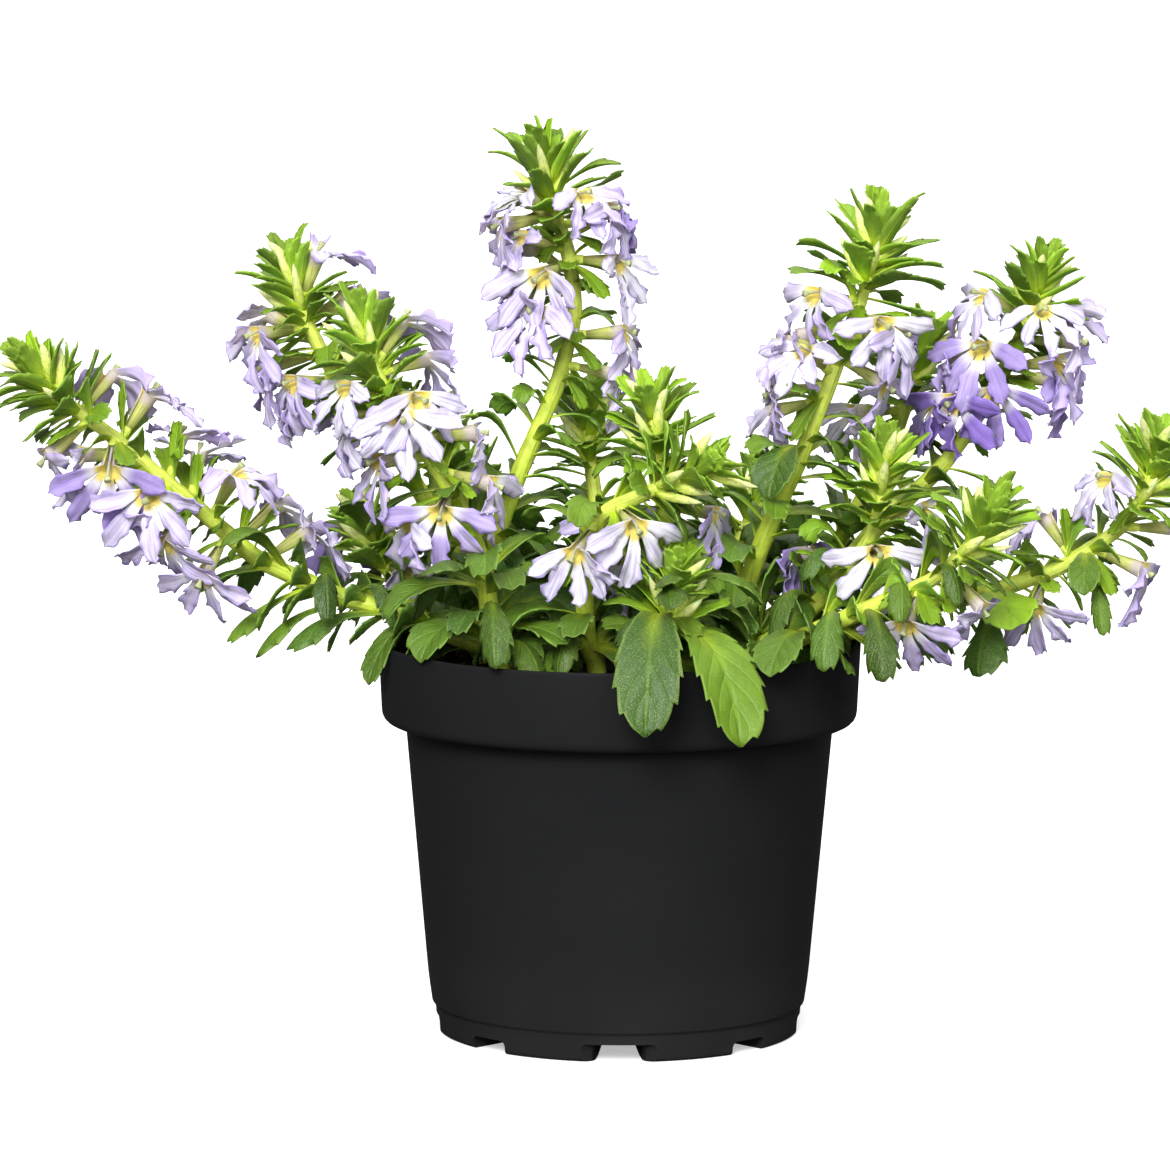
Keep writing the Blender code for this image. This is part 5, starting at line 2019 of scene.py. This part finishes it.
@dataclass
class Plant:
    """The whole plant. Its shoots grow in step, so that each leaves room for what the others' solids hold."""

    palette: Palette
    thicket: Thicket = field(default_factory=Thicket)
    corollas: dict[str, Corolla] = field(default_factory=dict)
    unmatched: list[str] = field(default_factory=list)

    def __post_init__(self) -> None:
        """Counts the pot and the soil as in place, and starts each shoot."""
        for node in ("nursery_pot", "potting_soil"):
            self.thicket.take_solid(node)
        shared = (self.thicket, self.corollas, self.unmatched)
        self.growths = {name: Growth(name, shoot, *shared) for name, shoot in SHOOTS.items()}

    def grow(self) -> None:
        """Places everything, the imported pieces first."""
        for bloom in BLOOMS:
            self.growths[bloom.shoot].solid_bloom(bloom)
        for number, large in enumerate(LARGE_LEAVES):
            self.growths[large.shoot].large_leaf(number, large)
        growths = self.growths.values()
        for growth in growths:
            self.thicket.take(Stem(growth.path, ()).surface()[0], ring=True)
            growth.solid_leaves()
            growth.solid_buds()
        LOG.info("placed without a match in the solids: %s", ", ".join(self.unmatched) or "none")
        for growth in growths:
            growth.more_blooms()
            growth.more_leaves()
        for growth in growths:
            growth.head()
            growth.bracts()
        for growth in growths:
            growth.fill()
        LOG.info("leaves: %d, blooms: %d", sum(len(growth.leaves) for growth in growths), len(self.corollas))

    def build(self) -> None:
        """Shows every shoot and bloom."""
        for growth in self.growths.values():
            growth.build(self.palette)
        petal = self.palette.petal
        style = Look("petal", petal.materials[2:])
        for name, corolla in self.corollas.items():
            node = f"bloom_{name}"
            nodes = (node,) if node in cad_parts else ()
            fan = thickened(joined(f"corolla_{name}", corolla.surfaces()), PETAL_THICKNESS, petal)
            show(f"corolla_{name}", fan, petal, nodes)
            show(f"style_{name}", joined(f"style_{name}", [corolla.style()], ring=True), style, nodes)


@dataclass(frozen=True)
class Soil:
    """The peat in the pot, a closed block with an uneven crumbly top."""

    top: float = SOIL_TOP
    relief: float = 0.9 * MM
    side: tuple[tuple[float, float], ...] = (
        (0.0, 6.8), (47.6, 6.8), (49.1, 15.0), (55.7, 86.4), (62.1, 88.0), (62.7, 97.4),
    )
    rings: int = 46
    columns: int = 96
    crumbs: int = 1000
    fibres: int = 160
    strewn: float = 60.5 * MM
    wall: float = 62.0 * MM

    def height(self, x: float, y: float) -> float:
        """How high the surface is at this place."""
        waves = math.sin(x / (6.1 * MM)) + math.cos(y / (5.3 * MM)) + math.sin((x - y) / (9.7 * MM))
        rough = noise.noise(Vector((x, y, 0.3)) * 420.0) + 0.5 * noise.noise(Vector((x, y, 0.7)) * 1100.0)
        return self.top + self.relief * waves / 3.0 + 0.45 * MM * rough

    def build(self, look: Look) -> None:
        """Shows the block, then the crumbs and fibres that lie on it.

        Args:
            look: their finish.
        """
        draw = Random("soil")
        turns = np.linspace(0.0, math.tau, self.columns, endpoint=False)
        radii = [radius * MM for radius, _ in self.side] + list(np.linspace(62.6, 0.0, self.rings) * MM)
        rows = []
        for number, radius in enumerate(radii):
            row = []
            for turn in turns:
                x, y = radius * math.cos(turn), radius * math.sin(turn)
                level = self.side[number][1] * MM if number < len(self.side) else self.height(x, y)
                row.append((x, y, level))
            rows.append(row)
        grid = np.array(rows)
        grid[-1] = grid[-1].mean(axis=0)
        marks = marks_of(np.zeros(len(radii)), np.zeros(self.columns), 0.35, 0.0)
        show("peat_block", joined("peat_block", [(grid, marks)], ring=True), look, ("potting_soil",))
        loose = [self._crumb(draw) for _ in range(self.crumbs)]
        loose += filter(None, [self._fibre(draw) for _ in range(self.fibres)])
        show("peat_crumbs", joined("peat_crumbs", loose, ring=True), look)

    def _spot(self, draw: Random) -> Array:
        """A random place on the surface."""
        radius, turn = self.strewn * math.sqrt(draw.random()), draw.uniform(0.0, math.tau)
        x, y = radius * math.cos(turn), radius * math.sin(turn)
        return np.array((x, y, self.height(x, y)))

    def _crumb(self, draw: Random) -> Surface:
        """One crumb, as a lumpy ball of few faces.

        Args:
            draw: the random draws.

        Returns:
            Its points and their marks.
        """
        spot = self._spot(draw)
        size = draw.choice((0.45, 0.6, 0.8, 1.1, 1.6)) * draw.uniform(0.8, 1.2) * MM
        lean = np.array((draw.uniform(-0.3, 0.3), draw.uniform(-0.3, 0.3), 1.0))
        line = spot + lean * np.linspace(-0.8, 0.8, 5)[:, None] * size
        radii = np.array((0.0, 0.75, 1.0, 0.7, 0.0)) * size
        grid = tube(line, radii, 6)
        lumps = np.array([[draw.uniform(0.75, 1.25) for _ in range(6)] for _ in range(5)])
        lumps[0], lumps[-1] = 1.0, 1.0
        grid = line[:, None] + (grid - line[:, None]) * lumps[..., None]
        return grid, marks_of(np.zeros(5), np.zeros(6), draw.random(), 0.0)

    def _fibre(self, draw: Random) -> Surface | None:
        """One short bent fibre that lies on the surface.

        Args:
            draw: the random draws.

        Returns:
            The points with their marks, or None where it would reach the pot.
        """
        spot, turn = self._spot(draw), draw.uniform(0.0, math.tau)
        length, bow = draw.uniform(3.0, 9.0) * MM, draw.uniform(-0.3, 0.3)
        if np.hypot(*spot[:2]) + length > self.wall:
            return None
        share = np.linspace(0.0, 1.0, 6)
        ahead, aside = compass(math.degrees(turn), 0.0), compass(math.degrees(turn) + 90.0, 0.0)
        line = spot + length * (share[:, None] * ahead + (bow * share * (1.0 - share))[:, None] * aside)
        line[:, 2] = [self.height(x, y) + 0.25 * MM for x, y, _ in line]
        radii = np.array((0.0, 0.13, 0.16, 0.15, 0.12, 0.0)) * MM
        return tube(line, radii, 5), marks_of(share, np.zeros(5), draw.uniform(0.7, 1.0), 0.0)


@dataclass(frozen=True)
class NurseryPot:
    """The moulded pot, turned from its half section, with the channels and notches under its foot."""

    corners: tuple[Point, ...] = (
        (0.0, 6.5, 0.0), (48.0, 6.5, 2.0), (49.5, 15.0, 3.0), (56.1, 86.0, 1.0), (62.5, 87.6, 1.4),
        (63.5, 106.0, 0.5), (65.0, 106.0, 0.6), (64.0, 84.5, 3.0), (57.7, 84.2, 0.9), (51.5, 15.0, 5.0),
        (50.45, 7.95, 0.3), (49.55, 7.5, 0.25), (49.1, 0.0, 1.3), (0.0, 0.0, 0.0),
    )
    steps: int = 144
    channel_plan: tuple[tuple[float, float], ...] = (
        (54.0, 11.5), (49.0, 11.4), (48.2, 10.4), (47.5, 8.8), (46.6, 7.1), (45.0, 6.2), (38.0, 5.4),
        (24.0, 4.4), (11.0, 3.6),
    )
    channel_height: float = 4.8
    notch: tuple[float, float, float, float] = (32.0, 56.0, 6.0, 3.6)
    channel_corner: float = 2.4
    notch_corner: float = 1.6
    drain_radius: float = 4.0
    drain_place: float = 33.0
    crease: float = 32.0

    def profile(self) -> list[tuple[float, float]]:
        """The half section with its corners rounded.

        Returns:
            Its points, by radius and height.
        """
        made = []
        for number, (radius, height, fillet) in enumerate(self.corners):
            here = np.array((radius, height))
            if fillet == 0.0:
                made.append(tuple(here * MM))
                continue
            before = np.array(self.corners[number - 1][:2]) - here
            after = np.array(self.corners[number + 1][:2]) - here
            one = here + before * min(0.48, fillet / np.linalg.norm(before))
            other = here + after * min(0.48, fillet / np.linalg.norm(after))
            for share in np.linspace(0.0, 1.0, 6):
                point = one * (1 - share) ** 2 + here * 2 * share * (1 - share) + other * share**2
                made.append(tuple(point * MM))
        return made

    @staticmethod
    def arch(reach: float, half: float, height: float, corner: float) -> list[Point]:
        """A section of a channel, square to its run: upright sides, then a rounded top.

        Args:
            reach: how far out it stands.
            half: half its width.
            height: its height.
            corner: the radius of its upper corners.

        Returns:
            Its points.
        """
        corner = min(corner, half, height)
        points = [(reach, -half, -1.0), (reach, -half, height - corner)]
        for share in (0.33, 0.66, 1.0):
            turn = 0.5 * math.pi * share
            aside, up = corner * (1 - math.cos(turn)), corner * (1 - math.sin(turn))
            points.append((reach, -half + aside, height - up))
        mirrored = [(x, -y, z) for x, y, z in reversed(points)]
        return points + mirrored

    def cutters(self) -> Object:
        """The channels, notches and drain holes as one shape.

        Returns:
            An object of that shape, to cut away.
        """
        shape = bmesh.new()
        start, end, half, height = self.notch
        channel = [
            self.arch(reach, half_width, self.channel_height, self.channel_corner)
            for reach, half_width in self.channel_plan
        ]
        notch = [self.arch(reach, half, height, self.notch_corner) for reach in (end, start)]
        radius = self.drain_radius * MM
        middle = Matrix.Translation(Vector((self.drain_place, 0.0, 8.0)) * MM)
        for quarter in range(4):
            for sections, turn in ((channel, 0.0), (notch, 45.0)):
                spin = Matrix.Rotation(math.radians(90.0 * quarter + turn), 4, "Z")
                self._bar(shape, [[spin @ (Vector(point) * MM) for point in section] for section in sections])
            hole = Matrix.Rotation(math.radians(90.0 * quarter), 4, "Z") @ middle
            sizes = {"radius1": radius, "radius2": radius, "depth": 11.0 * MM}
            bmesh.ops.create_cone(shape, cap_ends=True, segments=32, matrix=hole, **sizes)
        bmesh.ops.recalc_face_normals(shape, faces=shape.faces)
        mesh = bpy.data.meshes.new("cutters")
        shape.to_mesh(mesh)
        shape.free()
        return placed("cutters", mesh)

    @staticmethod
    def _bar(shape: bmesh.types.BMesh, sections: list[list[Vector]]) -> None:
        """Adds a closed bar.

        Args:
            shape: what it is added to.
            sections: its sections, from end to end.
        """
        rings = [[shape.verts.new(point) for point in section] for section in sections]
        for one, other in zip(rings, rings[1:]):
            for index in range(len(one)):
                after = (index + 1) % len(one)
                shape.faces.new((one[index], one[after], other[after], other[index]))
        shape.faces.new(rings[0][::-1])
        shape.faces.new(rings[-1])

    def build(self, look: Look) -> None:
        """Turns the half section, cuts the foot and shows the pot.

        Args:
            look: its finish.
        """
        profile = self.profile()
        mesh = bpy.data.meshes.new("pot")
        edges = [(index, index + 1) for index in range(len(profile) - 1)]
        mesh.from_pydata([(radius, 0.0, height) for radius, height in profile], edges, [])
        holder = placed("pot_wall", mesh)
        turn = holder.modifiers.new("turn", "SCREW")
        turn.steps = self.steps
        turn.render_steps = self.steps
        turn.use_merge_vertices = True
        turn.merge_threshold = 0.01 * MM
        cutters = self.cutters()
        cut = holder.modifiers.new("cut", "BOOLEAN")
        cut.operation = "DIFFERENCE"
        cut.solver = "EXACT"
        cut.use_self = True
        cut.object = cutters
        made = modified(holder)
        bpy.data.objects.remove(cutters)
        made.shade_smooth()
        made.set_sharp_from_angle(angle=math.radians(self.crease))
        show("pot_wall", made, look, ("nursery_pot",))


@dataclass(frozen=True)
class Studio:
    """The camera, the floor and the light."""

    target: Point = (-9.4 * MM, 0.0, 120.9 * MM)
    elevation: float = 7.3
    distance: float = 1.7
    frame_width: float = 315.0 * MM
    roll: float = 0.2
    sensor: float = 36.0
    floor_reach: float = 40.0
    floor_shown: Colour = (0.82, 0.82, 0.82)
    floor_lit: Colour = (0.08, 0.08, 0.08)
    white: Colour = (1.0, 1.0, 1.0)

    def build(self) -> None:
        """Sets up everything that isn't part of the object."""
        self._camera()
        self._floor()
        self._world()
        self._lamp("key", (-0.2, -1.0, 0.62), 3.1, 24.0)
        self._lamp("fill", (0.8, -1.0, 0.8), 0.4, 50.0)
        self._lamp("back", (0.4, 1.0, 1.2), 0.6, 50.0)

    def _camera(self) -> None:
        """The camera, at the photo's angle."""
        lens = bpy.data.cameras.new("camera")
        lens.sensor_width = self.sensor
        lens.lens = self.sensor * self.distance / self.frame_width
        lens.clip_end = 100.0
        camera = placed("camera", lens)
        away = Vector(compass(-90.0, self.elevation))
        turn = away.to_track_quat("Z", "Y").to_matrix().to_4x4()
        roll = Matrix.Rotation(math.radians(self.roll), 4, "Z")
        camera.matrix_world = Matrix.Translation(Vector(self.target) + away * self.distance) @ turn @ roll
        bpy.context.scene.camera = camera

    def _floor(self) -> None:
        """A plain pale floor, which shows whiter than it lights the plant from below."""
        made, graph, shader = new_material("floor")
        seen = graph.node("ShaderNodeLightPath").outputs["Is Camera Ray"]
        colour = graph.mix(seen, self.floor_lit, self.floor_shown)
        graph.put(shader, Base_Color=colour, Roughness=0.9, Specular_IOR_Level=0.1)
        graph.put(shader, Emission_Color=self.white, Emission_Strength=graph.times(seen, 0.45))
        mesh = bpy.data.meshes.new("floor")
        reach = self.floor_reach
        corners = [(-reach, -reach, 0.0), (reach, -reach, 0.0), (reach, reach, 0.0), (-reach, reach, 0.0)]
        mesh.from_pydata(corners, [], [(0, 1, 2, 3)])
        mesh.materials.append(made)
        floor = placed("floor", mesh)
        floor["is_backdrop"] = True

    def _world(self) -> None:
        """White all round, which lights most from above and in front and least from the sides."""
        world = bpy.data.worlds.new("studio")
        bpy.context.scene.world = world
        world.use_nodes = True
        graph = Graph(world.node_tree)
        parts = graph.axes(graph.place("Generated"))
        above = graph.step(parts["Z"], 0.1, 1.0)
        front = graph.step(parts["Y"], -0.65, -1.0)
        strength = graph.scaled(above, 1.1, graph.scaled(front, 2.2, 0.03))
        light = world.node_tree.nodes["Background"]
        graph.put(light, Color=self.white, Strength=strength)
        seen = graph.node("ShaderNodeBackground")
        graph.put(seen, Color=self.white)
        both = graph.node("ShaderNodeMixShader")
        graph.put(both, Fac=graph.node("ShaderNodeLightPath").outputs["Is Camera Ray"])
        graph.feed(both.inputs[1], light.outputs["Background"])
        graph.feed(both.inputs[2], seen.outputs["Background"])
        graph.put(world.node_tree.nodes["World Output"], Surface=both.outputs["Shader"])
        bpy.context.scene.view_settings.view_transform = "Standard"

    @staticmethod
    def _lamp(name: str, towards: Point, strength: float, angle: float) -> None:
        """Sets up an even soft light.

        Args:
            name: its name.
            towards: the direction that it comes from.
            strength: its strength.
            angle: how wide it is; a wide one gives soft shadows.
        """
        data = bpy.data.lights.new(name, "SUN")
        data.energy = strength
        data.angle = math.radians(angle)
        light = placed(name, data)
        light.rotation_euler = Vector(towards).to_track_quat("Z", "Y").to_euler()


def write_sizes() -> None:
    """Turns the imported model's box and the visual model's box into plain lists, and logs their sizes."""
    boxes = {"cad": CAD_BOX, "visual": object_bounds()}
    rows = {name: [list(corner) for corner in box] for name, box in boxes.items()}
    for name, (low, high) in rows.items():
        LOG.info("%s box: %s", name, " x ".join(f"{(b - a) / MM:.1f}" for a, b in zip(low, high)))


def main() -> None:
    """Builds the pot, the soil and the plant, then the studio round them."""
    logging.basicConfig(level=logging.INFO, format="%(message)s", stream=sys.stdout)
    palette = Palette()
    NurseryPot().build(palette.plastic)
    Soil().build(palette.peat)
    plant = Plant(palette)
    plant.grow()
    plant.build()
    Studio().build()
    write_sizes()


if __name__ == "__main__":
    main()
